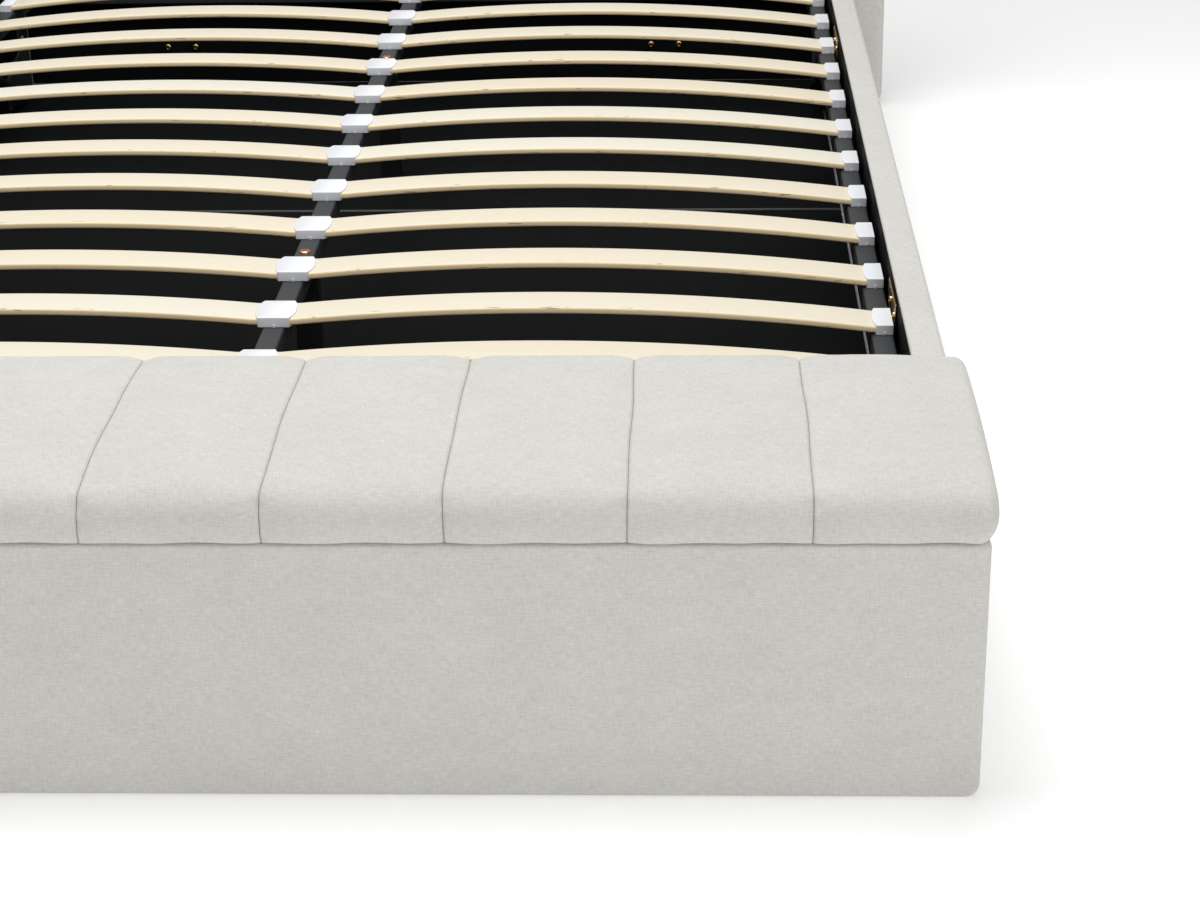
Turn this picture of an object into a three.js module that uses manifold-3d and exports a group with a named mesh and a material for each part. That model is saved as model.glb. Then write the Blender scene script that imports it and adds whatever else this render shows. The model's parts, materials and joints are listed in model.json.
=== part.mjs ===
// An upholstered ottoman bed with a bench box at its foot end.
// Millimetres, +Z up, X across the bed and +Y towards the headboard.
// The sprung slats lie on a steel platform that is hinged at the head end and lifts
// over the storage floor. The bench box has its own hinged, channelled lid.
// The origin is on the floor, under the middle of the whole bed.

import * as THREE from 'three';
import { mergeVertices } from 'three/addons/utils/BufferGeometryUtils.js';
import Module from 'manifold-3d';

const wasm = await Module();
wasm.setup();

// Main sizes. Places along Y are measured from the bench box's front face.
const wellWidth = 1405;
const wellLength = 2008;
const railThickness = 35.5;
const railHeight = 266;
const railEdgeRadius = 5;
const benchHeight = 263;
const benchDepth = 335;
const panelThickness = 22;
const panelCornerRadius = 6;

// Clearances
const fitGap = 0.3;
const slatFit = 0.3;
const turningFit = 0.3;
const cutOverrun = 1;

// Storage floor under the platform
const battenWidth = 20;
const battenHeight = 42;
const floorBoardThickness = 9;
const floorBoardLength = 630;
const floorBoardGap = 8;
const floorSideGap = 5;
const benchFloorHeight = 20;
const benchFloorThickness = 12;

// Steel platform, whose centre rail stands higher than its side tubes
const tubeWidth = 25;
const tubeHeight = 25;
const tubeWall = 1.5;
const tubeCorner = 3;
const platformTop = 226;
const centreRise = 11;
const platformSideGap = 5;
const platformFootGap = 12;
const platformHeadGap = 8;
const legWidth = 30;
const legWall = 2;
const footLegAfterSlat = 3;
const headLegAfterSlat = 9;

// Sprung slats and their plastic holders
const slatCount = 12;
const slatPitch = 154;
const slatWidth = 53;
const slatThickness = 8;
const slatBow = 18;
const slatEdge = 2.5;
const slatEndToCentre = 6;
const holderWall = 1.5;
const capLength = 22.5;
const capEndWall = 3;
const capInset = 0.5;
const doubleHolderLength = 46;

// Platform hinge and gas struts, which lift clear of the rest brackets near the head
const pivotInset = 37;
const pivotPinRadius = 6;
const bracketThickness = 4;
const bracketMargin = 28;
const strutBaseReach = 100;
const strutBaseDrop = 139;
const strutPinReach = 350;
const strutPinDrop = 40;
const strutBasePinRadius = 5;
const strutRadius = 11;
const strutEyeWidth = 16;
const strutBodyEnd = 44;
const strutBoreStart = 30;
const rodRadius = 4;
const rodFit = 0.5;
const rodTail = 46;
const rodEyeRadius = 10;
const rodEyeWidth = 14;
const rodBoltRadius = 4;
const rodBoltOverhang = 3;
const lugThickness = 4;
const lugWidth = 36;
const lugMargin = 16;
const lugTopInset = 5;

// Rest brackets on the side rails
const restBracketLength = 95;
const restBracketSheet = 2.5;
const restBracketRise = 26;
const restBracketLip = 15;
const restBracketReach = 28;
const footRestPlace = 690;
const headRestPlace = 1877;

// Lift strap on the foot tube, low enough to pass under the opened lid
const strapWidth = 40;
const strapThickness = 2.5;
const strapLoopWidth = 24;
const strapRise = 29;

// Bench lid
const lidOverhang = 5.5;
const lidFrontOverhang = 8;
const lidThickness = 65;
const channelCount = 9;
const lidSeamDepth = 9;
const lidCrown = 6;
const lidEdgeRadius = 24;
const lidEndRound = 16;
const lidDrawIn = 3;
const lidDrawInHeight = 12;
const lidSkirt = 16;
const lidRearSkirt = 5;
const lidBoardThickness = 16;
const lidShadowGap = 2;

// Piano hinge of the lid
const leafThickness = 1.2;
const leafWidth = 25;
const knuckleRadius = 3.5;
const knuckleStandOff = 0.8;
const knuckleCount = 17;
const knuckleGap = 0.4;
const hingePinRadius = 1.5;
const hingeEndInset = 20;

// Headboard
const headboardOverhang = 74;
const headboardHeight = 1150;
const headboardThickness = 70;
const headboardBevel = 8;
const headboardCorner = 18;
const headboardPadBottom = 290;
const headboardBorder = 70;
const headboardPocketDepth = 36;
const headboardPadProud = 8;
const headboardSeamDepth = 10;
const headboardPadCrown = 4;
const headboardPadEdge = 20;

// Shares of one channel at which a padded section is drawn, and of a rounded end
const channelShares = [0, 0.08, 0.3, 0.7, 0.92];
const roundShares = [0, 0.15, 0.5];
const arcShares = [1 / 3, 2 / 3, 1];
const crownShares = [0.2, 0.5, 0.8];
const puffPower = 3.5;
const frontSeamShare = 0.5;
const channelMiddleShare = 0.5;

// Facet counts
const roundSides = 20;
const smallSides = 10;
const cornerSteps = 2;
const slatSteps = 8;
const strapSteps = 8;
const mergeDistance = 0.0005;

// Places that several pieces share
const halfWell = wellWidth / 2;
const halfBed = halfWell + railThickness;
const wellHead = benchDepth + wellLength;
const originY = (headboardThickness + wellHead - lidFrontOverhang) / 2;
const benchBackFront = benchDepth - panelThickness;
const floorTop = battenHeight + floorBoardThickness;
const tubeBottom = platformTop - tubeHeight;
const centreTop = platformTop + centreRise;
const centreBottom = centreTop - tubeHeight;
const sideTubeOuter = halfWell - platformSideGap;
const sideTubeInner = sideTubeOuter - tubeWidth;
const sideTubeCentre = (sideTubeOuter + sideTubeInner) / 2;
const platformFoot = benchDepth + platformFootGap;
const platformHead = wellHead - platformHeadGap;
const slatRowLength = (slatCount - 1) * slatPitch + slatWidth;
const firstSlat = benchDepth + (wellLength - slatRowLength) / 2 + slatWidth / 2;
const slatBottom = platformTop + holderWall + slatFit;
const holderHeight = slatThickness + (holderWall + slatFit) * 2;
const holderWidth = slatWidth + (holderWall + slatFit) * 2;
const capOuter = sideTubeOuter - capInset;
const capInner = capOuter - capLength;
const slatOuterEnd = capOuter - capEndWall - slatFit;
const pivotY = platformHead - pivotInset;
const pivotZ = platformTop - tubeHeight / 2;
const strutBase = { y: pivotY - strutBaseReach, z: pivotZ - strutBaseDrop };
const strutPin = { y: pivotY - strutPinReach, z: pivotZ - strutPinDrop };
const strutLength = Math.hypot(strutPin.y - strutBase.y, strutPin.z - strutBase.z);
const lidTop = benchHeight + lidThickness;
const lidHalfWidth = halfBed + lidOverhang;
const lidPadBottom = benchHeight + lidShadowGap;
const lidPadBack = benchDepth;
const lidBoardBack = lidPadBack - lidRearSkirt;
const hingeY = benchDepth + knuckleRadius + knuckleStandOff;
const leafFront = benchDepth - leafWidth;
const hingeHalfLength = halfWell - hingeEndInset;

// Finishes
function finish(color, roughness, metalness) {
  return () => new THREE.MeshStandardMaterial({ color, roughness, metalness });
}
const wovenFabric = finish(0xd6d3cd, 0.95, 0);
const blackLining = finish(0x16181a, 0.9, 0);
const birch = finish(0xeadfc6, 0.55, 0);
const darkSteel = finish(0x44474c, 0.45, 0.3);
const blackPaint = finish(0x0c0d0f, 0.6, 0);
const brass = finish(0xb08a4a, 0.35, 1);
const chrome = finish(0xc9ccd2, 0.2, 1);
const strapWeb = finish(0x1b1b1d, 0.9, 0);
const plywood = finish(0xc9ad80, 0.7, 0);

const model = new THREE.Group();
const bed = new THREE.Group();
bed.position.y = -originY;
model.add(bed);

function addPart(name, geometry, material) {
  const mesh = new THREE.Mesh(geometry, material());
  mesh.name = name;
  bed.add(mesh);
}

// Joining and cutting
function toSolid(geometry) {
  const bare = geometry.clone();
  bare.deleteAttribute('normal');
  bare.deleteAttribute('uv');
  const merged = mergeVertices(bare, mergeDistance);
  const vertProperties = new Float32Array(merged.attributes.position.array);
  const triVerts = Uint32Array.from(merged.index.array);
  return new wasm.Manifold(new wasm.Mesh({ numProp: 3, vertProperties, triVerts }));
}

function toGeometry(solid) {
  const mesh = solid.getMesh();
  const geometry = new THREE.BufferGeometry();
  geometry.setAttribute('position', new THREE.BufferAttribute(mesh.vertProperties, 3));
  geometry.setIndex(new THREE.BufferAttribute(mesh.triVerts, 1));
  geometry.computeVertexNormals();
  return geometry;
}

function joined(first, ...others) {
  return toGeometry(others.reduce((sum, next) => sum.add(toSolid(next)), toSolid(first)));
}

function cutBy(body, ...tools) {
  return toGeometry(tools.reduce((rest, tool) => rest.subtract(toSolid(tool)), toSolid(body)));
}

// Basic shapes
function block([left, right], [front, back], [bottom, top]) {
  const geometry = new THREE.BoxGeometry(right - left, back - front, top - bottom);
  geometry.translate((left + right) / 2, (front + back) / 2, (bottom + top) / 2);
  return geometry;
}

function roundedRectangle([left, right], [bottom, top], radius) {
  const shape = new THREE.Shape();
  shape.moveTo(left + radius, bottom);
  shape.lineTo(right - radius, bottom);
  shape.absarc(right - radius, bottom + radius, radius, -Math.PI / 2, 0);
  shape.absarc(right - radius, top - radius, radius, 0, Math.PI / 2);
  shape.absarc(left + radius, top - radius, radius, Math.PI / 2, Math.PI);
  shape.absarc(left + radius, bottom + radius, radius, Math.PI, Math.PI * 3 / 2);
  return shape;
}

function outline(points) {
  return new THREE.Shape(points.map(([across, up]) => new THREE.Vector2(across, up)));
}

const unitX = new THREE.Vector3(1, 0, 0);
const unitY = new THREE.Vector3(0, 1, 0);
const unitZ = new THREE.Vector3(0, 0, 1);
const turnedToX = new THREE.Matrix4().makeBasis(unitY, unitZ, unitX);
const turnedToY = new THREE.Matrix4().makeBasis(unitX, unitZ, unitY.clone().negate());

function straightExtrusion(shape, depth) {
  return new THREE.ExtrudeGeometry(shape, { depth, bevelEnabled: false, curveSegments: cornerSteps });
}

// A bar along X, whose section is drawn with y across and z up
function barAlongX(shape, [left, right]) {
  const geometry = straightExtrusion(shape, right - left);
  geometry.applyMatrix4(turnedToX);
  geometry.translate(left, 0, 0);
  return geometry;
}

// A bar along Y, whose section is drawn with x across and z up
function barAlongY(shape, [front, back]) {
  const geometry = straightExtrusion(shape, back - front);
  geometry.applyMatrix4(turnedToY);
  geometry.translate(0, back, 0);
  return geometry;
}

function hollowSection(across, up, wall, corner) {
  const shape = roundedRectangle(across, up, corner);
  const inside = roundedRectangle(
    [across[0] + wall, across[1] - wall],
    [up[0] + wall, up[1] - wall],
    corner - wall,
  );
  shape.holes.push(inside);
  return shape;
}

function pinAlongX(centre, radius, [left, right], sides = roundSides) {
  const geometry = new THREE.CylinderGeometry(radius, radius, right - left, sides);
  geometry.rotateZ(Math.PI / 2);
  geometry.translate((left + right) / 2, centre.y, centre.z);
  return geometry;
}

// Rings of points with the same count, joined into one closed body
function loft(rings) {
  const count = rings[0].length;
  const index = [];
  for (let ring = 0; ring < rings.length - 1; ring += 1) {
    for (let side = 0; side < count; side += 1) {
      const near = ring * count + side;
      const nearNext = ring * count + (side + 1) % count;
      index.push(near, nearNext, nearNext + count, near, nearNext + count, near + count);
    }
  }
  const lastRing = (rings.length - 1) * count;
  for (let side = 1; side < count - 1; side += 1) {
    index.push(0, side + 1, side, lastRing, lastRing + side, lastRing + side + 1);
  }
  const geometry = new THREE.BufferGeometry().setFromPoints(rings.flat());
  geometry.setIndex(index);
  geometry.computeVertexNormals();
  return geometry;
}

// Sections of a channelled pad along X: the seams draw it in and its ends are rounded
function padStations(halfWidth, endRound) {
  const pitch = halfWidth * 2 / channelCount;
  const ends = roundShares.map((share) => ({
    fromEnd: endRound * share,
    inset: endRound * (1 - Math.sqrt(1 - (1 - share) ** 2)),
  }));
  const stations = ends.map(({ fromEnd, inset }) => ({ x: fromEnd - halfWidth, dip: 0, inset }));
  for (let channel = 0; channel < channelCount; channel += 1) {
    for (const share of channelShares) {
      const x = (channel + share) * pitch - halfWidth;
      const atLeftEnd = channel === 0 && share < channelMiddleShare;
      const atRightEnd = channel === channelCount - 1 && share > channelMiddleShare;
      const dip = atLeftEnd || atRightEnd ? 0 : Math.abs(share * 2 - 1) ** puffPower;
      if (Math.abs(x) < halfWidth - endRound) stations.push({ x, dip, inset: 0 });
    }
  }
  const mirrored = ends.reverse().map(({ fromEnd, inset }) => ({ x: halfWidth - fromEnd, dip: 0, inset }));
  return stations.concat(mirrored);
}

// Both pads list their section clockwise seen from +X, and the loft needs it the other way round
function anticlockwise(section, x) {
  return section.map(([y, z]) => new THREE.Vector3(x, y, z)).reverse();
}

// A quarter arc from a side face onto a top face, as (in from the side, down from the top)
function edgeArc(radius) {
  return arcShares.map((share) => {
    const angle = share * Math.PI / 2;
    return [radius * (1 - Math.cos(angle)), radius * (1 - Math.sin(angle))];
  });
}

// Side rails with the batten that carries the storage floor
function railSection(side) {
  const shape = new THREE.Shape();
  shape.moveTo(side * (halfWell - battenWidth), 0);
  shape.lineTo(side * halfBed, 0);
  shape.lineTo(side * halfBed, railHeight - railEdgeRadius);
  shape.lineTo(side * (halfBed - railEdgeRadius), railHeight);
  shape.lineTo(side * (halfWell + railEdgeRadius), railHeight);
  shape.lineTo(side * halfWell, railHeight - railEdgeRadius);
  shape.lineTo(side * halfWell, battenHeight);
  shape.lineTo(side * (halfWell - battenWidth), battenHeight);
  return shape;
}

const sides = [['left', -1], ['right', 1]];

// The span along X between two distances from the middle, on one side of the bed
function onSide(side, inner, outer) {
  return [side * inner, side * outer].sort((a, b) => a - b);
}

for (const [word, side] of sides) {
  addPart(`side_rail_${word}`, barAlongY(railSection(side), [benchDepth, wellHead]), wovenFabric);
}

// Storage floor: boards laid on the battens from the foot end; the last one fills the rest
const floorBoardStep = floorBoardLength + floorBoardGap;
const floorBoardCount = Math.floor(wellLength / floorBoardStep);
for (let board = 0; board < floorBoardCount; board += 1) {
  const start = benchDepth + board * floorBoardStep;
  const end = board === floorBoardCount - 1 ? wellHead : start + floorBoardLength;
  const across = [floorSideGap - halfWell, halfWell - floorSideGap];
  const geometry = block(across, [start, end], [battenHeight, floorTop]);
  addPart(`storage_floor_board_${board + 1}`, geometry, blackLining);
}

// Bench box
function benchPanel([front, back]) {
  const shape = roundedRectangle([-halfBed, halfBed], [0, benchHeight], panelCornerRadius);
  return barAlongY(shape, [front, back]);
}
addPart('bench_front_panel', benchPanel([0, panelThickness]), wovenFabric);
addPart('bench_back_panel', benchPanel([benchBackFront, benchDepth]), wovenFabric);
for (const [word, side] of sides) {
  const across = onSide(side, halfBed - panelThickness, halfBed);
  const geometry = block(across, [panelThickness, benchBackFront], [0, benchHeight]);
  addPart(`bench_end_panel_${word}`, geometry, wovenFabric);
}
addPart(
  'bench_floor',
  block(
    [panelThickness - halfBed, halfBed - panelThickness],
    [panelThickness, benchBackFront],
    [benchFloorHeight, benchFloorHeight + benchFloorThickness],
  ),
  blackLining,
);

// Lid board, rebated at the back for the hinge's leaf
const lidBoardHalf = lidHalfWidth - lidSkirt;
const lidBoardFront = lidSkirt - lidFrontOverhang;
const lidBoardTop = benchHeight + lidBoardThickness;
const rebateTop = benchHeight + leafThickness + fitGap;
const rebateFront = leafFront - fitGap;
addPart(
  'lid_board',
  barAlongX(
    outline([
      [lidBoardFront, benchHeight],
      [rebateFront, benchHeight],
      [rebateFront, rebateTop],
      [lidBoardBack, rebateTop],
      [lidBoardBack, lidBoardTop],
      [lidBoardFront, lidBoardTop],
    ]),
    [-lidBoardHalf, lidBoardHalf],
  ),
  plywood,
);

// Lid cushion: a channelled pad that wraps over the board's edges
function lidRing({ x, dip, inset }) {
  const seam = dip * lidSeamDepth;
  const front = inset + seam * frontSeamShare - lidFrontOverhang;
  const back = lidPadBack - inset - seam * frontSeamShare;
  const top = lidTop - seam - inset;
  const edgeTop = top - lidCrown;
  const arc = edgeArc(lidEdgeRadius);
  const flat = back - front - lidEdgeRadius * 2;
  const crown = crownShares.map((share) => {
    const rise = lidCrown * (1 - (share * 2 - 1) ** 2);
    return [front + lidEdgeRadius + flat * share, edgeTop + rise];
  });
  const section = [
    [front + lidDrawIn, lidPadBottom],
    [front, lidPadBottom + lidDrawInHeight],
    [front, edgeTop - lidEdgeRadius],
    ...arc.map(([inwards, down]) => [front + inwards, edgeTop - down]),
    ...crown,
    ...arc.toReversed().map(([inwards, down]) => [back - inwards, edgeTop - down]),
    [back, edgeTop - lidEdgeRadius],
    [back, lidPadBottom],
  ];
  return anticlockwise(section, x);
}
const lidPad = loft(padStations(lidHalfWidth, lidEndRound).map(lidRing));
const lidPocket = block(
  [-lidBoardHalf - fitGap, lidBoardHalf + fitGap],
  [lidBoardFront - fitGap, lidBoardBack + fitGap],
  [lidPadBottom - cutOverrun, lidBoardTop + fitGap],
);
addPart('lid_cushion', cutBy(lidPad, lidPocket), wovenFabric);

// Piano hinge: the knuckles alternate between the fixed and the moving leaf
const hingeAxis = { y: hingeY, z: benchHeight };
const knuckleLength = hingeHalfLength * 2 / knuckleCount;
const fixedLeafParts = [
  block(
    [-hingeHalfLength, hingeHalfLength],
    [benchDepth, benchDepth + leafThickness],
    [benchHeight - leafWidth, benchHeight - knuckleRadius - fitGap],
  ),
  pinAlongX(hingeAxis, hingePinRadius, [-hingeHalfLength, hingeHalfLength], smallSides),
];
const movingLeafParts = [
  block(
    [-hingeHalfLength, hingeHalfLength],
    [leafFront, hingeY - knuckleRadius - fitGap],
    [benchHeight, benchHeight + leafThickness],
  ),
];
for (let knuckle = 0; knuckle < knuckleCount; knuckle += 1) {
  const left = knuckle * knuckleLength - hingeHalfLength + knuckleGap / 2;
  const span = [left, left + knuckleLength - knuckleGap];
  const barrel = pinAlongX(hingeAxis, knuckleRadius, span, smallSides);
  if (knuckle % 2 === 0) {
    const tab = block(
      span,
      [benchDepth, benchDepth + leafThickness * 2],
      [benchHeight - leafWidth, benchHeight],
    );
    fixedLeafParts.push(barrel, tab);
  } else {
    const bore = pinAlongX(hingeAxis, hingePinRadius + turningFit, span, smallSides);
    const tab = block(
      span,
      [leafFront, hingeY - hingePinRadius - turningFit],
      [benchHeight, benchHeight + leafThickness],
    );
    movingLeafParts.push(cutBy(barrel, bore), tab);
  }
}
addPart('lid_hinge_fixed_leaf', joined(...fixedLeafParts), brass);
addPart('lid_hinge_moving_leaf', joined(...movingLeafParts), brass);

// Headboard: a bordered panel with a pocket, and the channelled pad that fills it
const headboardBack = wellHead + headboardThickness;
const headboardPadTop = headboardHeight - headboardBorder;
const pocketFloor = wellHead + headboardPocketDepth;
const headboardHalf = halfBed + headboardOverhang;
const headboardPadHalf = headboardHalf - headboardBorder;
const headboardOutline = roundedRectangle(
  [headboardBevel - headboardHalf, headboardHalf - headboardBevel],
  [headboardBevel, headboardHeight - headboardBevel],
  headboardCorner,
);
const headboardBody = new THREE.ExtrudeGeometry(headboardOutline, {
  depth: headboardThickness - headboardBevel * 2,
  bevelThickness: headboardBevel,
  bevelSize: headboardBevel,
  bevelSegments: cornerSteps,
  curveSegments: cornerSteps,
});
headboardBody.applyMatrix4(turnedToY);
headboardBody.translate(0, headboardBack - headboardBevel, 0);
const headboardPocket = block(
  [-headboardPadHalf - fitGap, headboardPadHalf + fitGap],
  [wellHead - cutOverrun, pocketFloor],
  [headboardPadBottom - fitGap, headboardPadTop + fitGap],
);
addPart('headboard_panel', cutBy(headboardBody, headboardPocket), wovenFabric);

function headboardRing({ x, dip, inset }) {
  const seam = dip * headboardSeamDepth;
  const back = pocketFloor - fitGap;
  const front = wellHead - headboardPadProud + seam + inset;
  const edgeFront = front + headboardPadCrown;
  const arc = edgeArc(headboardPadEdge);
  const low = headboardPadBottom;
  const high = headboardPadTop;
  const flat = high - low - headboardPadEdge * 2;
  const crown = crownShares.map((share) => {
    const rise = headboardPadCrown * (1 - (share * 2 - 1) ** 2);
    return [edgeFront - rise, low + headboardPadEdge + flat * share];
  });
  const section = [
    [back, low],
    [edgeFront + headboardPadEdge, low],
    ...arc.map(([inwards, down]) => [edgeFront + down, low + inwards]),
    ...crown,
    ...arc.toReversed().map(([inwards, down]) => [edgeFront + down, high - inwards]),
    [edgeFront + headboardPadEdge, high],
    [back, high],
  ];
  return anticlockwise(section, x);
}
const headboardStations = padStations(headboardPadHalf, headboardPadEdge);
addPart('headboard_cushion', loft(headboardStations.map(headboardRing)), wovenFabric);

// Plastic slat holders, joined to the tube that they are pinned to
function holder([left, right], [mouthLeft, mouthRight], slatY, tubeTop) {
  const body = block(
    [left, right],
    [slatY - holderWidth / 2, slatY + holderWidth / 2],
    [tubeTop, tubeTop + holderHeight],
  );
  const slot = block(
    [mouthLeft, mouthRight],
    [slatY - slatWidth / 2 - slatFit, slatY + slatWidth / 2 + slatFit],
    [tubeTop + holderWall, tubeTop + holderHeight - holderWall],
  );
  return cutBy(body, slot);
}
const slatPlaces = Array.from({ length: slatCount }, (_, row) => firstSlat + row * slatPitch);

// Side tubes, with the pivot hole and the end caps of the slats
for (const [word, side] of sides) {
  const section = hollowSection(
    onSide(side, sideTubeInner, sideTubeOuter),
    [tubeBottom, platformTop],
    tubeWall,
    tubeCorner,
  );
  const tube = barAlongY(section, [platformFoot, platformHead]);
  const pivotHole = pinAlongX(
    { y: pivotY, z: pivotZ },
    pivotPinRadius + turningFit,
    onSide(side, sideTubeInner - cutOverrun, sideTubeOuter + cutOverrun),
  );
  const caps = slatPlaces.map((slatY) => holder(
    onSide(side, capInner, capOuter),
    onSide(side, capInner - cutOverrun, slatOuterEnd + slatFit),
    slatY,
    platformTop,
  ));
  addPart(`side_tube_${word}`, joined(cutBy(tube, pivotHole), ...caps), darkSteel);
}

// Cross tubes and the centre rail with its double holders
const crossTube = (front) => barAlongX(
  hollowSection([front, front + tubeWidth], [tubeBottom, platformTop], tubeWall, tubeCorner),
  [-sideTubeInner, sideTubeInner],
);
addPart('foot_tube', crossTube(platformFoot), darkSteel);
addPart('head_tube', crossTube(platformHead - tubeWidth), darkSteel);
const centreSection = hollowSection(
  [-tubeWidth / 2, tubeWidth / 2],
  [centreBottom, centreTop],
  tubeWall,
  tubeCorner,
);
const centreTube = barAlongY(centreSection, [platformFoot + tubeWidth, platformHead - tubeWidth]);
const doubleHolders = slatPlaces.flatMap((slatY) => sides.map(([, side]) => holder(
  onSide(side, 0, doubleHolderLength / 2),
  onSide(side, slatEndToCentre - slatFit, doubleHolderLength / 2 + cutOverrun),
  slatY,
  centreTop,
)));
addPart('centre_rail', joined(centreTube, ...doubleHolders), darkSteel);

// Sprung slats: flat in their holders, bowed upwards between the higher centre and the side
function slatRing(x, slatY, bottom) {
  const half = slatWidth / 2;
  const top = bottom + slatThickness;
  const section = [
    [slatEdge - half, bottom],
    [half - slatEdge, bottom],
    [half, bottom + slatEdge],
    [half, top - slatEdge],
    [half - slatEdge, top],
    [slatEdge - half, top],
    [-half, top - slatEdge],
    [-half, bottom + slatEdge],
  ];
  return section.map(([across, z]) => new THREE.Vector3(x, slatY + across, z));
}

function slat(side, slatY) {
  const bowStart = doubleHolderLength / 2 + slatFit;
  const bowEnd = capInner - slatFit;
  const centreSlatBottom = slatBottom + centreRise;
  const rings = [slatRing(side * slatEndToCentre, slatY, centreSlatBottom)];
  for (let step = 0; step <= slatSteps; step += 1) {
    const share = step / slatSteps;
    const rise = slatBow * (1 - (share * 2 - 1) ** 2);
    const bottom = centreSlatBottom - centreRise * share + rise;
    rings.push(slatRing(side * (bowStart + (bowEnd - bowStart) * share), slatY, bottom));
  }
  rings.push(slatRing(side * slatOuterEnd, slatY, slatBottom));
  return loft(side > 0 ? rings : rings.reverse());
}
for (const [word, side] of sides) {
  slatPlaces.forEach((slatY, row) => {
    const number = String(row + 1).padStart(2, '0');
    addPart(`slat_${word}_${number}`, slat(side, slatY), birch);
  });
}

// Centre legs, bolted under the centre rail between two slats
function centreLeg(afterSlat) {
  const middle = firstSlat + (afterSlat - 1 / 2) * slatPitch;
  const half = legWidth / 2;
  const section = hollowSection([-half, half], [middle - half, middle + half], legWall, tubeCorner);
  const geometry = straightExtrusion(section, centreBottom - floorTop);
  geometry.translate(0, 0, floorTop);
  return geometry;
}
addPart('centre_leg_foot', centreLeg(footLegAfterSlat), blackPaint);
addPart('centre_leg_head', centreLeg(headLegAfterSlat), blackPaint);

// Rest brackets: an upright plate on the rail and a flange under the side tube
function restBracket(side, place) {
  const rail = side * halfWell;
  const plate = side * (halfWell - restBracketSheet);
  const reach = side * (halfWell - restBracketReach);
  const section = outline([
    [rail, platformTop + restBracketRise],
    [rail, tubeBottom - restBracketLip],
    [plate, tubeBottom - restBracketLip],
    [plate, tubeBottom - restBracketSheet],
    [reach, tubeBottom - restBracketSheet],
    [reach, tubeBottom],
    [plate, tubeBottom],
    [plate, platformTop + restBracketRise],
  ]);
  return barAlongY(section, [place - restBracketLength / 2, place + restBracketLength / 2]);
}
for (const [word, side] of sides) {
  addPart(`rest_bracket_foot_${word}`, restBracket(side, footRestPlace), brass);
  addPart(`rest_bracket_head_${word}`, restBracket(side, headRestPlace), brass);
}

// Lift bracket on each rail: it holds the platform's pivot pin and the strut's lower pin
function liftBracket(side) {
  const plate = barAlongX(
    outline([
      [strutBase.y - bracketMargin, floorTop],
      [pivotY + bracketMargin, floorTop],
      [pivotY + bracketMargin, platformTop],
      [pivotY - bracketMargin, platformTop],
      [pivotY - bracketMargin, strutBase.z + bracketMargin * 2],
      [strutBase.y - bracketMargin, strutBase.z + bracketMargin],
    ]),
    onSide(side, halfWell - bracketThickness, halfWell),
  );
  const pivotPin = pinAlongX(
    { y: pivotY, z: pivotZ },
    pivotPinRadius,
    onSide(side, sideTubeInner - tubeWall, halfWell - bracketThickness / 2),
  );
  const strutPinBar = pinAlongX(
    strutBase,
    strutBasePinRadius,
    onSide(side, sideTubeCentre - strutEyeWidth / 2 - tubeWall, halfWell - bracketThickness / 2),
  );
  return joined(plate, pivotPin, strutPinBar);
}

// Gas strut, drawn along its own line from the lower pin (0) to the upper pin (1)
const strutDirection = new THREE.Vector3(0, strutPin.y - strutBase.y, strutPin.z - strutBase.z).normalize();

function strutBar(side, radius, from, to) {
  const geometry = new THREE.CylinderGeometry(radius, radius, to - from, roundSides);
  geometry.applyQuaternion(new THREE.Quaternion().setFromUnitVectors(unitY, strutDirection));
  const middle = strutDirection.clone().multiplyScalar((from + to) / 2);
  geometry.translate(side * sideTubeCentre, strutBase.y + middle.y, strutBase.z + middle.z);
  return geometry;
}

function strutCylinder(side) {
  const centre = side * sideTubeCentre;
  const eye = pinAlongX(strutBase, strutRadius, [centre - strutEyeWidth / 2, centre + strutEyeWidth / 2]);
  const bodyEnd = strutLength - strutBodyEnd;
  const body = strutBar(side, strutRadius, 0, bodyEnd);
  const bore = strutBar(side, rodRadius + rodFit, strutBoreStart, bodyEnd + cutOverrun);
  const eyeHole = pinAlongX(
    strutBase,
    strutBasePinRadius + turningFit,
    [centre - strutRadius - cutOverrun, centre + strutRadius + cutOverrun],
  );
  return cutBy(joined(eye, body), bore, eyeHole);
}

function strutRod(side) {
  const centre = side * sideTubeCentre;
  const rod = strutBar(side, rodRadius, rodTail, strutLength);
  const eye = pinAlongX(strutPin, rodEyeRadius, [centre - rodEyeWidth / 2, centre + rodEyeWidth / 2]);
  const boltEnds = onSide(side, sideTubeInner + fitGap, sideTubeCentre + rodEyeWidth / 2 + rodBoltOverhang);
  return joined(rod, eye, pinAlongX(strutPin, rodBoltRadius, boltEnds));
}

// Lug welded to the side tube, beside the strut's upper eye
function strutLug(side) {
  const half = lugWidth / 2;
  return block(
    onSide(side, sideTubeInner - lugThickness, sideTubeInner),
    [strutPin.y - half, strutPin.y + half],
    [strutPin.z - lugMargin, platformTop - lugTopInset],
  );
}
for (const [word, side] of sides) {
  addPart(`lift_bracket_${word}`, liftBracket(side), darkSteel);
  addPart(`strut_cylinder_${word}`, strutCylinder(side), blackPaint);
  addPart(`strut_rod_${word}`, strutRod(side), chrome);
  addPart(`strut_lug_${word}`, strutLug(side), darkSteel);
}

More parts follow.
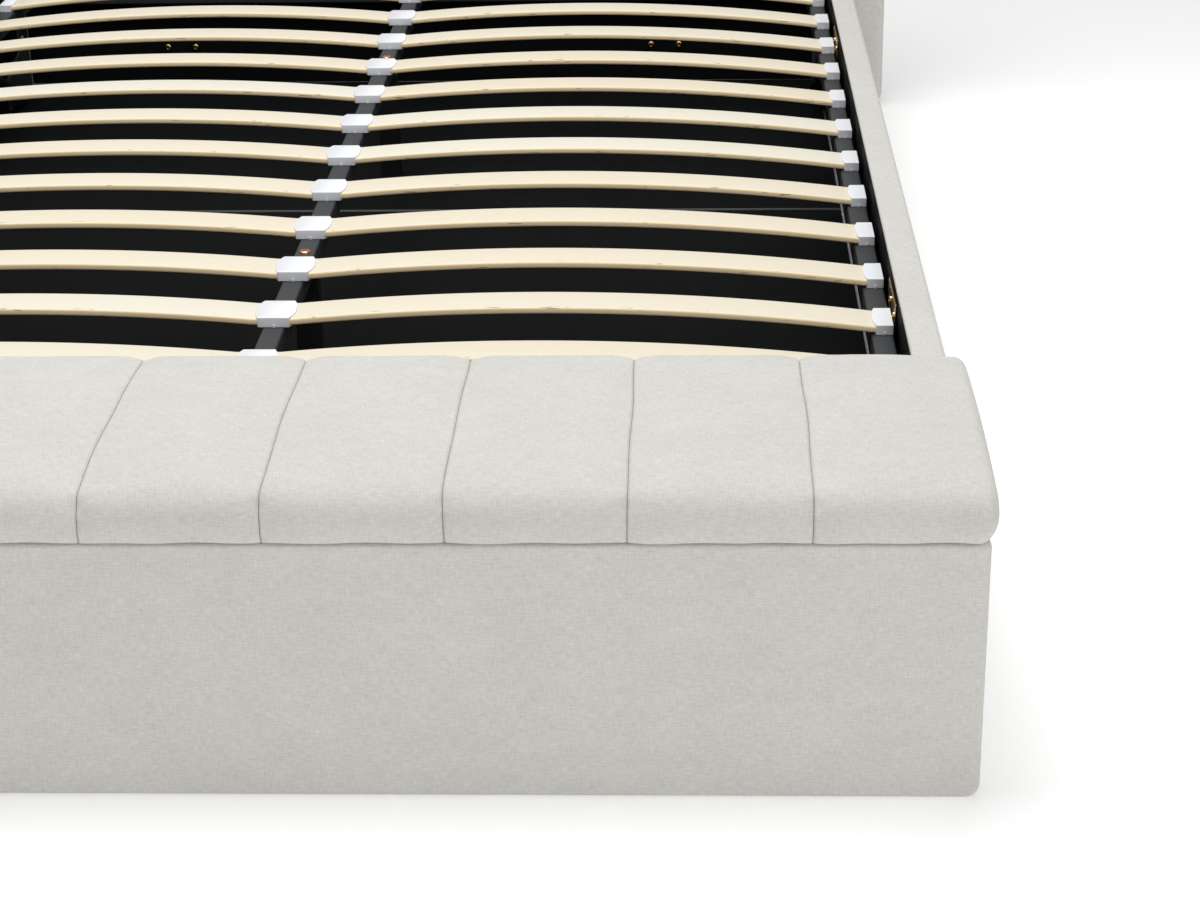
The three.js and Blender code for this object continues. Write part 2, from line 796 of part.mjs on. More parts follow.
// Lift strap: a loop of webbing that stands on the foot tube
function liftStrap() {
  const middle = platformFoot + tubeWidth / 2;
  const outer = strapLoopWidth / 2;
  const inner = outer - strapThickness;
  const arcCentre = platformTop + strapRise - outer;
  const arc = (radius) => Array.from({ length: strapSteps + 1 }, (_, step) => {
    const angle = Math.PI * step / strapSteps;
    return [middle + radius * Math.cos(angle), arcCentre + radius * Math.sin(angle)];
  });
  const loop = outline([
    [middle + outer, platformTop],
    ...arc(outer),
    [middle - outer, platformTop],
  ]);
  const gap = outline([
    [middle + inner, platformTop + strapThickness],
    ...arc(inner),
    [middle - inner, platformTop + strapThickness],
  ]);
  loop.holes.push(gap);
  return barAlongX(loop, [-strapWidth / 2, strapWidth / 2]);
}
addPart('lift_strap', liftStrap(), strapWeb);

export default model;
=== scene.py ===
# %% [markdown]
# # An upholstered ottoman bed with a bench at its foot
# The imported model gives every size. Its rigid pieces get rounded edges and finishes, and its soft
# ones are made again as real upholstery. All places are in metres, +Y runs towards the headboard.

# %% Load the frame
import json
import math

import bmesh
import bpy
import numpy as np
from mathutils import Matrix, Vector, noise

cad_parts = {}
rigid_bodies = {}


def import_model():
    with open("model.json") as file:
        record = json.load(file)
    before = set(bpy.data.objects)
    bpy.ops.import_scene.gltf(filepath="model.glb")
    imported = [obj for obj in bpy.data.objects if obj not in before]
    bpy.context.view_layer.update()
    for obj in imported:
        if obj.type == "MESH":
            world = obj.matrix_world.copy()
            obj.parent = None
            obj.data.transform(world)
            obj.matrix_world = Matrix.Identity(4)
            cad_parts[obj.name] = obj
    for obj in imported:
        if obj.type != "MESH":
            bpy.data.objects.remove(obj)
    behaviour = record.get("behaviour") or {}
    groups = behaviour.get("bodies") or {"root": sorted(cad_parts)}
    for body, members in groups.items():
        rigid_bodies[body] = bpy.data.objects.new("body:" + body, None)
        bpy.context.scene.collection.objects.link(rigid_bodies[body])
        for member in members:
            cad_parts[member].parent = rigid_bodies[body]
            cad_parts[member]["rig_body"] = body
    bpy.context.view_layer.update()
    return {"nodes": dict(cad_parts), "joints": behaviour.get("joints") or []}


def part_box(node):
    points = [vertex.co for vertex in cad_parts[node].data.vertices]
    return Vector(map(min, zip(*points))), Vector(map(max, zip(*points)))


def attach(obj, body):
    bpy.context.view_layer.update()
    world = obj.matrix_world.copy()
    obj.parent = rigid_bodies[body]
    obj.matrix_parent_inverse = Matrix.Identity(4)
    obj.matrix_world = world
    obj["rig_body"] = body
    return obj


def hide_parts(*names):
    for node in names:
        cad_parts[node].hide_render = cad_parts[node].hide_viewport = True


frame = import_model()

MM = 0.001

# %% [markdown]
# ## Sizes taken from the frame
# Each visible piece sits on a neighbour that the frame already holds, so its place is read from that
# neighbour's box. Reading it once here keeps the later cells short.

# %% Shared places
HALF_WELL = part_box("rest_bracket_foot_right")[1].x
HALF_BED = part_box("bench_front_panel")[1].x
BENCH_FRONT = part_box("bench_front_panel")[0].y
WELL_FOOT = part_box("side_rail_right")[0].y
WELL_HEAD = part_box("side_rail_right")[1].y
FLOOR_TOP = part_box("storage_floor_board_1")[1].z
TUBE_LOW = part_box("foot_tube")[0].z
TUBE_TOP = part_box("foot_tube")[1].z
CENTRE_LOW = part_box("centre_rail")[0].z
CENTRE_RISE = CENTRE_LOW - TUBE_LOW
CENTRE_TOP = TUBE_TOP + CENTRE_RISE
TUBE_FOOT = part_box("side_tube_right")[0].y
TUBE_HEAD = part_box("side_tube_right")[1].y
SIDE_TUBE_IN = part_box("side_tube_right")[0].x
SIDE_TUBE_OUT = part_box("side_tube_right")[1].x
SLAT_ROWS = sum(name.startswith("slat_right") for name in frame["nodes"])
FIRST_SLAT = (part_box("slat_right_01")[0].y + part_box("slat_right_01")[1].y) / 2
SLAT_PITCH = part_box("slat_right_02")[0].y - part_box("slat_right_01")[0].y
SIDES = (("left", -1), ("right", 1))
print("well", round(2 * HALF_WELL, 4), "x", round(WELL_HEAD - WELL_FOOT, 4), "m;", SLAT_ROWS, "rows of slats")
print("the centre rail stands", round(CENTRE_RISE / MM, 1), "mm above the side tubes")

# %% [markdown]
# ## Camera, floor and light
# The camera stands where the photograph was taken from, found by fitting the bed's edges, slats and
# seams to it. A large softbox over the bed, a weaker one beside the camera and an even pale surround
# give the soft shop light: tops are about half as bright again as fronts.

# %% Camera
CAMERA_PLACE = Vector((0.4651, -3.2518, 1.2464))
CAMERA_DOWN = math.radians(23.499)
CAMERA_YAW = math.radians(-2.123)
CAMERA_ROLL = math.radians(-0.896)
CAMERA_LENS = 76.149

camera = bpy.data.objects.new("camera", bpy.data.cameras.new("camera"))
bpy.context.scene.collection.objects.link(camera)
camera.data.lens = CAMERA_LENS
forward = Vector((
    math.sin(CAMERA_YAW) * math.cos(CAMERA_DOWN),
    math.cos(CAMERA_YAW) * math.cos(CAMERA_DOWN),
    -math.sin(CAMERA_DOWN),
))
level_right = Vector((math.cos(CAMERA_YAW), -math.sin(CAMERA_YAW), 0))
level_up = level_right.cross(forward)
right = level_right * math.cos(CAMERA_ROLL) + level_up * math.sin(CAMERA_ROLL)
up = level_up * math.cos(CAMERA_ROLL) - level_right * math.sin(CAMERA_ROLL)
camera.matrix_world = Matrix.Translation(CAMERA_PLACE) @ Matrix((right, up, -forward)).transposed().to_4x4()
bpy.context.scene.camera = camera
bpy.context.scene.view_settings.view_transform = "Standard"

# %% Floor and light
FLOOR_SIZE = 30.0
FLOOR_DROP = 0.5 * MM
SURROUND_STRENGTH = 0.34
TOP_LIGHT_PLACE = Vector((-0.3, -0.1, 3.4))
TOP_LIGHT_SIZE = 3.2
TOP_LIGHT_WATTS = 106.0
FRONT_LIGHT_PLACE = Vector((2.0, -4.4, 2.9))
FRONT_LIGHT_SIZE = 2.4
FRONT_LIGHT_WATTS = 68.0
LIGHTS_AIM = Vector((0, -0.2, 0))


def new_piece(name, mesh):
    piece = bpy.data.objects.new(name, mesh)
    bpy.context.scene.collection.objects.link(piece)
    return piece


def mesh_of(name, shape):
    mesh = bpy.data.meshes.new(name)
    shape.to_mesh(mesh)
    shape.free()
    return mesh


def piece_of(name, shape):
    return new_piece(name, mesh_of(name, shape))


floor_shape = bmesh.new()
bmesh.ops.create_grid(floor_shape, x_segments=1, y_segments=1, size=FLOOR_SIZE / 2)
bmesh.ops.translate(floor_shape, verts=floor_shape.verts, vec=(0, 0, -FLOOR_DROP))
studio_floor = piece_of("studio_floor", floor_shape)

world = bpy.data.worlds.new("surround")
world.use_nodes = True
background = world.node_tree.nodes["Background"]
background.inputs["Color"].default_value = (1, 1, 1, 1)
background.inputs["Strength"].default_value = SURROUND_STRENGTH
bpy.context.scene.world = world


def softbox(name, place, size, watts):
    light = bpy.data.objects.new(name, bpy.data.lights.new(name, "AREA"))
    bpy.context.scene.collection.objects.link(light)
    light.data.shape = "DISK"
    light.data.size = size
    light.data.energy = watts
    light.location = place
    light.rotation_euler = (LIGHTS_AIM - place).to_track_quat("-Z", "Y").to_euler()


softbox("top_light", TOP_LIGHT_PLACE, TOP_LIGHT_SIZE, TOP_LIGHT_WATTS)
softbox("front_light", FRONT_LIGHT_PLACE, FRONT_LIGHT_SIZE, FRONT_LIGHT_WATTS)
print("camera at", tuple(round(v, 3) for v in CAMERA_PLACE))
print("lights", TOP_LIGHT_WATTS, "W and", FRONT_LIGHT_WATTS, "W")

# %% [markdown]
# ## Shader maths as plain expressions
# A material's colour is worked out by nodes. Wiring them by hand hides the idea, so one small class
# wraps a socket: arithmetic on it adds Math nodes, and `add` makes any other node. A finish is then
# read like a formula.

# %% A socket that can be used in sums


class Wire:
    """One output socket of a node tree."""

    def __init__(self, tree, socket=None):
        self.tree = tree
        self.socket = socket

    def add(self, kind, settings=None, inputs=None, output=0):
        node = self.tree.nodes.new(kind)
        settings = dict(settings or {})
        stops = settings.pop("stops", None)
        for name, value in settings.items():
            setattr(node, name, value)
        if stops:
            ramp = node.color_ramp
            while len(ramp.elements) < len(stops):
                ramp.elements.new(0.5)
            for element, (position, color) in zip(ramp.elements, stops):
                element.position = position
                element.color = (*color, 1)
        for key, value in (inputs or {}).items():
            if isinstance(value, Wire):
                self.tree.links.new(value.socket, node.inputs[key])
            else:
                node.inputs[key].default_value = value
        return Wire(self.tree, node.outputs[output])

    def maths(self, operation, *values, **settings):
        return self.add("ShaderNodeMath", {"operation": operation, **settings}, dict(enumerate(values)))

    def __add__(self, other):
        return self.maths("ADD", self, other)

    __radd__ = __add__

    def __mul__(self, other):
        return self.maths("MULTIPLY", self, other)

    __rmul__ = __mul__

    def __sub__(self, other):
        return self.maths("SUBTRACT", self, other)

    def __rsub__(self, other):
        return self.maths("SUBTRACT", other, self)

    def clamped(self):
        return self.maths("ADD", self, 0.0, use_clamp=True)

    def axis(self, number):
        """One coordinate of a place: 0 for X, 1 for Y."""
        return self.add("ShaderNodeSeparateXYZ", {}, {0: self}, number)

    def attribute(self, name):
        return self.add("ShaderNodeAttribute", {"attribute_name": name}, output=2)

    def object_place(self):
        return self.add("ShaderNodeTexCoord", {}, output=3)

    def into(self, shader, name):
        self.tree.links.new(self.socket, shader.inputs[name])


def new_finish(name, color, roughness, metallic=0.0, **uniform):
    """A material, the start of its node sums and its shader. Uniform values sit on the shader."""
    finish = bpy.data.materials.new(name)
    finish.use_nodes = True
    shader = finish.node_tree.nodes["Principled BSDF"]
    shader.inputs["Base Color"].default_value = (*color, 1)
    shader.inputs["Roughness"].default_value = roughness
    shader.inputs["Metallic"].default_value = metallic
    for key, value in uniform.items():
        shader.inputs[key.replace("_", " ")].default_value = value
    return finish, Wire(finish.node_tree), shader


def grain(start, place, scale, detail=2.0, roughness=0.5):
    return start.add(
        "ShaderNodeTexNoise",
        {"noise_dimensions": "3D"},
        {"Vector": place, "Scale": scale, "Detail": detail, "Roughness": roughness},
    )


def streaks(start, place, scales, detail=2.0, roughness=0.5):
    """Noise that is scaled differently along each axis."""
    drawn_out_place = start.add("ShaderNodeMapping", {}, {"Vector": place, "Scale": scales})
    return grain(start, drawn_out_place, 1.0, detail, roughness)


def tinted(start, mask, color, base):
    """The base colour, which may be a wire, going over to another colour where the mask is 1."""
    colors = {"Factor": mask, 6: base, 7: (*color, 1)}
    return start.add("ShaderNodeMix", {"data_type": "RGBA"}, colors, output=2)


def between(start, mask, dark, light):
    """A colour from dark to light by a mask of 0 to 1."""
    return tinted(start, mask, light, (*dark, 1))


def bumped(start, height, shader, depth, strength=1.0):
    bump = start.add("ShaderNodeBump", {}, {"Height": height, "Distance": depth, "Strength": strength})
    bump.into(shader, "Normal")


print("shader helpers ready")

# %% [markdown]
# ## The woven cloth
# The cover is a pale warm grey cloth with a fine flat weave. Close up it shows uneven yarns that cross,
# some a little thicker or darker, and from a step away a soft cloudy mottling. The pattern reads each
# piece's own map, called cloth, which is in metres and runs with the threads, so the weave turns with
# the cloth at an edge. Noise drawn out along each thread direction gives the yarns, which looks more
# like cloth than a regular checker.

# %% Woven cloth
CLOTH_LIGHT = (0.675, 0.663, 0.628)
CLOTH_DARK = (0.400, 0.382, 0.345)
YARN_LENGTH_SCALE = 110.0
YARN_WIDTH_SCALE = 620.0
YARN_DETAIL = 3.0
WEFT_WEIGHT, WARP_WEIGHT, THREAD_WEIGHT = 0.8, 0.6, 0.05
CLOUD_SCALE, CLOUD_WEIGHT = 9.0, 0.25
PATCH_SCALES, PATCH_WEIGHT = (26.0, 60.0, 1), 0.2
CLOTH_TONE = 0.68
WEAVE_DEPTH = 0.35 * MM
THREAD_PITCH = 1.15 * MM
# Painted shade: the cloth is darkened towards this colour in the seam grooves, where the seam mask is past
# SEAM_CORE.
SEAM_SHADE = (0.15, 0.147, 0.135)
SEAM_CORE = 0.5


def woven_cloth(name, light, dark):
    finish, start, shader = new_finish(name, light, 0.95, Sheen_Weight=0.12, Sheen_Roughness=0.6)
    place = start.add("ShaderNodeUVMap", {"uv_map": "cloth"})
    weft = streaks(start, place, (YARN_LENGTH_SCALE, YARN_WIDTH_SCALE, 1), YARN_DETAIL)
    warp = streaks(start, place, (YARN_WIDTH_SCALE, YARN_LENGTH_SCALE, 1), YARN_DETAIL)
    clouds = grain(start, place, CLOUD_SCALE, 3.0, 0.6)
    patches = streaks(start, place, PATCH_SCALES)
    turns = 2 * math.pi / THREAD_PITCH
    over = start.maths("SINE", place.axis(0) * turns) * start.maths("SINE", place.axis(1) * turns)
    yarns = (weft - 0.5) * WEFT_WEIGHT + (warp - 0.5) * WARP_WEIGHT + over * THREAD_WEIGHT
    uneven_dye = (clouds - 0.5) * CLOUD_WEIGHT + (patches - 0.5) * PATCH_WEIGHT
    tone = (CLOTH_TONE + yarns + uneven_dye).clamped()
    # Painted shade darkens the cloth along each seam groove.
    painted_seam_shade = ((start.attribute("seam") - SEAM_CORE) * (1 / (1 - SEAM_CORE))).clamped()
    color = tinted(start, painted_seam_shade, SEAM_SHADE, between(start, tone, dark, light))
    color.into(shader, "Base Color")
    bumped(start, over * 0.35 + weft * 0.7 + warp * 0.7, shader, WEAVE_DEPTH, 0.55)
    return finish


cloth = woven_cloth("woven_cloth", CLOTH_LIGHT, CLOTH_DARK)
print("cloth threads every", THREAD_PITCH / MM, "mm")

# %% [markdown]
# ## The slats' birch
# Sprung slats are glued from thin birch layers and bent under heat. The top is pale and almost plain,
# with faint grain along the slat, and the sawn edges are darker with thin glue lines. A few small knots
# and brown streaks sit near the front edge, and no two slats have quite the same tone. The slats carry
# two attributes for this: where a point lies across the slat, and the slat's own tone.

# %% Birch
BIRCH_PALE = (0.750, 0.722, 0.618)
BIRCH_WARM = (0.745, 0.650, 0.485)
BIRCH_EDGE = (0.95, 0.75, 0.45)
KNOT_BROWN = (0.28, 0.15, 0.075)
LINE_SCALES = (7.0, 420.0, 160.0)
FLECK_SCALES = (60.0, 900.0, 300.0)
LAYER_SCALES = (4.0, 40.0, 1400.0)
KNOT_SCALES = (33.0, 400.0, 400.0)
TONE_WEIGHT, LINE_WEIGHT, FLECK_WEIGHT = 0.7, 0.7, 0.25
EDGE_FROM, EDGE_SHARPNESS = 0.90, 12.0
KNOT_FROM, KNOT_SHARPNESS = 0.68, 24.0
KNOTS_UP_TO = -0.7


def birch_finish():
    finish, start, shader = new_finish("birch", BIRCH_PALE, 0.5, Coat_Weight=0.08, Coat_Roughness=0.35)
    place, across, tone = start.object_place(), start.attribute("across"), start.attribute("tone")
    lines = streaks(start, place, LINE_SCALES, 4.0, 0.6)
    flecks = streaks(start, place, FLECK_SCALES)
    warmth = (tone * TONE_WEIGHT + (lines - 0.5) * LINE_WEIGHT + (flecks - 0.5) * FLECK_WEIGHT).clamped()
    top = between(start, warmth, BIRCH_PALE, BIRCH_WARM)
    edge = ((start.maths("ABSOLUTE", across) - EDGE_FROM) * EDGE_SHARPNESS).clamped()
    layers = streaks(start, place, LAYER_SCALES, 1.0)
    wood = tinted(start, (edge * (0.55 + layers * 0.5)).clamped(), BIRCH_EDGE, top)
    near_front = ((KNOTS_UP_TO - across) * 5.0).clamped()
    spots = streaks(start, place, KNOT_SCALES)
    knots = (((spots - KNOT_FROM) * KNOT_SHARPNESS).clamped() * near_front).clamped()
    tinted(start, knots, KNOT_BROWN, wood).into(shader, "Base Color")
    (0.48 + flecks * 0.12).into(shader, "Roughness")
    bumped(start, lines * 0.6 + flecks * 0.4, shader, 0.12 * MM, 0.5)
    return finish


birch = birch_finish()
print("birch knots where the noise is over", KNOT_FROM)

# %% [markdown]
# ## The lining, the steel and the plastic
# The storage floor and every face inside the bed are black. The frame is dark grey powder coat, a fine
# orange-peel skin over steel tube, and the slat holders are moulded in a slightly blue white plastic.
# Each finish needs only its own grain and an uneven roughness, which is what stops it looking flat.

# %% Plain finishes
LINING_DARK = (0.002, 0.0024, 0.0028)
LINING_LIGHT = (0.006, 0.0068, 0.0075)
STEEL_DARK = (0.022, 0.024, 0.026)
STEEL_LIGHT = (0.044, 0.047, 0.051)
PLASTIC_WHITE = (0.82, 0.835, 0.865)
PLASTIC_SHADE = (0.76, 0.78, 0.82)


def grained_finish(name, dark, light, scale, roughness, metallic=0.0, bump=0.1, stretch=(1, 1, 1), **uniform):
    """A finish that wanders between two tones, with the same grain in its roughness and its surface."""
    finish, start, shader = new_finish(name, light, roughness, metallic, **uniform)
    place = start.object_place()
    fine = streaks(start, place, tuple(scale * share for share in stretch), 4.0, 0.6)
    broad = grain(start, place, 7.0, 2.0)
    between(start, ((fine + broad) * 0.5).clamped(), dark, light).into(shader, "Base Color")
    (roughness - 0.08 + fine * 0.16).into(shader, "Roughness")
    bumped(start, fine, shader, bump * MM, 0.4)
    return finish


lining = grained_finish(
    "black_lining", LINING_DARK, LINING_LIGHT, 700.0, 0.75, bump=0.15, Specular_IOR_Level=0.1,
)
steel = grained_finish(
    "powder_coated_steel", STEEL_DARK, STEEL_LIGHT, 900.0, 0.5, bump=0.08, Specular_IOR_Level=0.4,
)
black_paint = grained_finish("black_paint", (0.003, 0.003, 0.0035), (0.008, 0.008, 0.009), 500.0, 0.5)
plastic = grained_finish("white_plastic", PLASTIC_SHADE, PLASTIC_WHITE, 240.0, 0.42, bump=0.05)
plywood = grained_finish("plywood", (0.42, 0.29, 0.15), (0.62, 0.47, 0.28), 90.0, 0.7, stretch=(0.1, 1, 1))
batten_face = grained_finish("pale_batten", (0.68, 0.67, 0.74), (0.82, 0.81, 0.88), 120.0, 0.45)
raw_edge_and_painted_highlight = grained_finish("raw_edge_and_painted_highlight", (0.16, 0.165, 0.17), (0.26, 0.265, 0.27), 300.0, 0.7)
print("plain finishes made")

# %% [markdown]
# ## The metal fittings
# The rest brackets, screws and piano hinge are zinc plated with a yellow passivate, which shifts between
# gold and a faint pink. The strut rods are polished chrome.

# %% Metals
brass = grained_finish("yellow_zinc", (0.50, 0.30, 0.10), (0.86, 0.62, 0.30), 260.0, 0.2, 1.0, 0.02)
chrome = grained_finish("chrome", (0.62, 0.64, 0.68), (0.78, 0.80, 0.84), 420.0, 0.16, 1.0, 0.01)
copper = grained_finish("copper_screw", (0.50, 0.22, 0.11), (0.85, 0.48, 0.30), 300.0, 0.3, 1.0, 0.03)


def webbing_finish():
    finish, start, shader = new_finish("strap_webbing", (0.02, 0.02, 0.022), 0.85)
    waves = {"Vector": start.object_place(), "Scale": 160.0, "Distortion": 0.6, "Detail": 1.0}
    ribs = start.add("ShaderNodeTexWave", {"wave_type": "BANDS", "bands_direction": "X"}, waves, output=1)
    between(start, ribs, (0.008, 0.008, 0.009), (0.035, 0.035, 0.038)).into(shader, "Base Color")
    bumped(start, ribs, shader, 0.3 * MM, 0.8)
    return finish


webbing = webbing_finish()
FLOOR_GREY = 0.90
FLOOR_GLOW = 0.24
floor_finish = new_finish(
    "studio_floor", (FLOOR_GREY,) * 3, 0.9, Emission_Color=(1, 1, 1, 1), Emission_Strength=FLOOR_GLOW,
)[0]
studio_floor.data.materials.append(floor_finish)
print("metals, webbing and studio floor made")

# %% [markdown]
# ## Rigid pieces with eased edges
# The frame's own solids are faceted and dead sharp. Real boards and pressings have small radii that
# catch the light. A copy of each solid is welded, its flat faces are merged, and a Bevel modifier rounds
# what is left. A cloth-covered board gets a wider radius, and its map is laid in metres, flat on each
# face. The few ways of making a shape that later cells share are defined here too: a skin over rings of
# points, a tube between two outlines, a block, and shapes cut out of a piece.

# %% Refined copies of the frame's solids
WELD = 0.01 * MM
FLAT = math.radians(0.5)
ROUND_BELOW = math.radians(40)
BRACKET_ROUND = 0.6 * MM
LID_BOARD_ROUND = 1.0 * MM


def applied(piece):
    """The piece with its modifiers worked into its mesh."""
    graph = bpy.context.evaluated_depsgraph_get()
    mesh = bpy.data.meshes.new_from_object(piece.evaluated_get(graph))
    piece.modifiers.clear()
    piece.data = mesh
    return piece


def smoothed(piece, sharp_from=ROUND_BELOW):
    """Shades a piece smooth, but for edges sharper than an angle."""
    piece.data.shade_smooth()
    piece.data.set_sharp_from_angle(angle=sharp_from)
    return piece


def skinned(rings, closed=False):
    """A skin over rings of points, capped at both ends, or closed into a loop."""
    shape = bmesh.new()
    rings = [[shape.verts.new(point) for point in ring] for ring in rings]
    count = len(rings[0])
    for near, far in zip(rings, rings[1:] + rings[:1] if closed else rings[1:]):
        for here in range(count):
            following = (here + 1) % count
            shape.faces.new((near[here], near[following], far[following], far[here]))
    if not closed:
        shape.faces.new(rings[0])
        shape.faces.new(rings[-1])
    bmesh.ops.recalc_face_normals(shape, faces=shape.faces)
    return shape


def hollow(name, outside, inside, ends, placed):
    """A tube between two outlines. placed turns an end and a point of an outline into a place."""
    near, far = ends
    walls = ((near, outside), (far, outside), (far, inside), (near, inside))
    rings = [[placed(end, *point) for point in outline] for end, outline in walls]
    return piece_of(name, skinned(rings, closed=True))


def block(name, size, centre):
    shape = bmesh.new()
    bmesh.ops.create_cube(shape, size=1.0)
    bmesh.ops.scale(shape, verts=shape.verts, vec=size)
    bmesh.ops.translate(shape, verts=shape.verts, vec=centre)
    return piece_of(name, shape)


def cut_out(piece, cutters):
    """Cuts the cutters' shapes out of a piece, and clears the cutters away."""
    for cutter in cutters:
        cut = piece.modifiers.new(cutter.name, "BOOLEAN")
        cut.operation = "DIFFERENCE"
        cut.solver = "EXACT"
        cut.object = cutter
    applied(piece)
    for cutter in cutters:
        bpy.data.objects.remove(cutter)
    return piece


def welded(node):
    shape = bmesh.new()
    shape.from_mesh(frame["nodes"][node].data)
    bmesh.ops.remove_doubles(shape, verts=shape.verts, dist=WELD)
    bmesh.ops.dissolve_limit(shape, angle_limit=FLAT, verts=shape.verts, edges=shape.edges)
    return shape


def eased(piece, radius, segments=3):
    bevel = piece.modifiers.new("eased_edges", "BEVEL")
    bevel.width = radius
    bevel.segments = segments
    bevel.limit_method = "ANGLE"
    bevel.angle_limit = ROUND_BELOW
    bevel.harden_normals = True
    return applied(piece)


def lay_cloth(mesh):
    """A map in metres, laid flat on each face's main direction."""
    layer = mesh.uv_layers.get("cloth") or mesh.uv_layers.new(name="cloth")
    for polygon in mesh.polygons:
        facing = max(range(3), key=lambda axis: abs(polygon.normal[axis]))
        first, second = [(1, 2), (0, 2), (0, 1)][facing]
        for loop in polygon.loop_indices:
            place = mesh.vertices[mesh.loops[loop].vertex_index].co
            layer.data[loop].uv = (place[first], place[second])


def settle(piece, body, slot, *finishes):
    """Gives a piece its finishes and its body. The slot argument is not used."""
    piece.data.materials.clear()
    for finish in finishes:
        piece.data.materials.append(finish)
    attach(piece, body)
    return piece


def refined(node, finish, slot, radius=0.0):
    """A smooth copy of a rigid solid, which then stands for it."""
    piece = smoothed(piece_of(node + "_piece", welded(node)))
    if radius:
        eased(piece, radius)
    settle(piece, frame["nodes"][node]["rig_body"], slot, finish)
    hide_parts(node)
    return piece


steel_nodes = ["foot_tube", "head_tube", "lift_bracket_left", "lift_bracket_right"]
for node in steel_nodes + ["strut_lug_left", "strut_lug_right"]:
    refined(node, steel, "dark_steel")
for node in ["centre_leg_foot", "centre_leg_head", "strut_cylinder_left", "strut_cylinder_right"]:
    refined(node, black_paint, "black_paint")
for node in ["strut_rod_left", "strut_rod_right"]:
    refined(node, chrome, "chrome")
for end in ("foot", "head"):
    for side in ("left", "right"):
        refined(f"rest_bracket_{end}_{side}", brass, "brass", BRACKET_ROUND)
for node in ["lid_hinge_fixed_leaf", "lid_hinge_moving_leaf"]:
    refined(node, brass, "brass")
refined("lid_board", plywood, "plywood", LID_BOARD_ROUND)

# %% [markdown]
# ## The storage floor
# The boards are thin hardboard with a black lining. Where two meet, a narrow gap shows the front edge of the
# farther board.
# The edges that face the foot get a lighter grey finish of their own: partly the raw board edge, and partly a
# painted highlight for the light that catches that edge.

# %% Floor boards
EDGE_FACING = 0.7
BOARD_ROUND = 0.8 * MM
board_names = sorted(name for name in frame["nodes"] if name.startswith("storage_floor_board"))
for name in board_names:
    board = refined(name, lining, "black_lining", BOARD_ROUND)
    board.data.materials.append(raw_edge_and_painted_highlight)
    # Faces towards the foot take the lighter edge finish: raw edge tone plus a painted highlight.
    for polygon in board.data.polygons:
        polygon.material_index = int(polygon.normal.y < -EDGE_FACING)
refined("bench_floor", lining, "black_lining", BOARD_ROUND)
print(len(board_names), "floor boards")

# %% [markdown]
# ## The upholstered boards
# Cloth is wrapped tightly round each board of the box, so only its edges are soft. The faces that look
# into the bench or into the bed are covered with black lining instead, which a second finish on those
# faces shows without any extra piece.

# %% Bench panels
PANEL_ROUND = 7.0 * MM
FLAT_FACING = 0.999
TOP_CORNER_ROUND = 6.0 * MM
LOW_CORNER_ROUND = 13.0 * MM
BENCH_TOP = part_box("bench_front_panel")[1].z
BENCH_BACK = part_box("bench_back_panel")[1].y
LINING_DROP = 12.0 * MM
ROUND_STEPS = 8


def arc(centre, radius, start, end, steps=ROUND_STEPS):
    angles = np.linspace(start, end, steps)
    return [(centre[0] + radius * math.cos(a), centre[1] + radius * math.sin(a)) for a in angles]


def drawn_out(name, section, stations):
    """A bar whose (x, z) section runs along Y."""
    return piece_of(name, skinned([[(x, y, z) for x, z in section] for y in stations]))


def lined(piece, faces_inside):
    """Gives black lining to the faces that the test picks."""
    for polygon in piece.data.polygons:
        polygon.material_index = int(faces_inside(polygon.center, polygon.normal))


def covered_board(node, faces_inside):
    piece = refined(node, cloth, "woven_fabric", PANEL_ROUND)
    lay_cloth(piece.data)
    piece.data.materials.append(lining)
    lined(piece, faces_inside)
    return piece


def front_panel():
    """The bench's front, whose cloth is pulled round wider corners at the floor than at the top."""
    low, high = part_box("bench_front_panel")
    section = []
    for quarter, (x, z, radius) in enumerate((
        (high.x, high.z, TOP_CORNER_ROUND), (low.x, high.z, TOP_CORNER_ROUND),
        (low.x, low.z, LOW_CORNER_ROUND), (high.x, low.z, LOW_CORNER_ROUND),
    )):
        centre = (x - math.copysign(radius, x), z - radius if z > low.z else z + radius)
        section += arc(centre, radius, quarter * math.pi / 2, (quarter + 1) * math.pi / 2)
    piece = smoothed(drawn_out("bench_front_piece", section, (low.y, high.y)))
    settle(eased(piece, PANEL_ROUND), "base", "woven_fabric", cloth, lining)
    lay_cloth(piece.data)
    lined(piece, lambda centre, normal: normal.y > FLAT_FACING)
    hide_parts("bench_front_panel")


front_panel()
covered_board("bench_back_panel", lambda centre, normal: abs(normal.y) > FLAT_FACING)
covered_board("bench_end_panel_left", lambda centre, normal: normal.x > FLAT_FACING)
covered_board("bench_end_panel_right", lambda centre, normal: normal.x < -FLAT_FACING)
print("bench box", round(BENCH_BACK - BENCH_FRONT, 3), "x", round(BENCH_TOP, 3), "m")

# %% [markdown]
# ## The side rails
# A rail is a padded board on edge. Its cloth rolls over the top and ends a few millimetres down the
# inner face, where the black lining starts. The section is drawn once as a line of points and drawn out
# along the bed. Under it runs the pale batten that carries the storage floor; its top shows as a thin
# light line in the gap beside the boards.

# %% Rails and battens
RAIL_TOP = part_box("side_rail_right")[1].z
RAIL_PADDING = 1.0 * MM
RAIL_ROUND_OUTER = 6.0 * MM
RAIL_ROUND_INNER = 2.5 * MM
RAIL_TURN = 4.0 * MM
RAIL_STEPS = 24
LINING_SET_BACK = 0.5 * MM
BATTEN_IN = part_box("side_rail_right")[0].x
BATTEN_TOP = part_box("storage_floor_board_1")[0].z


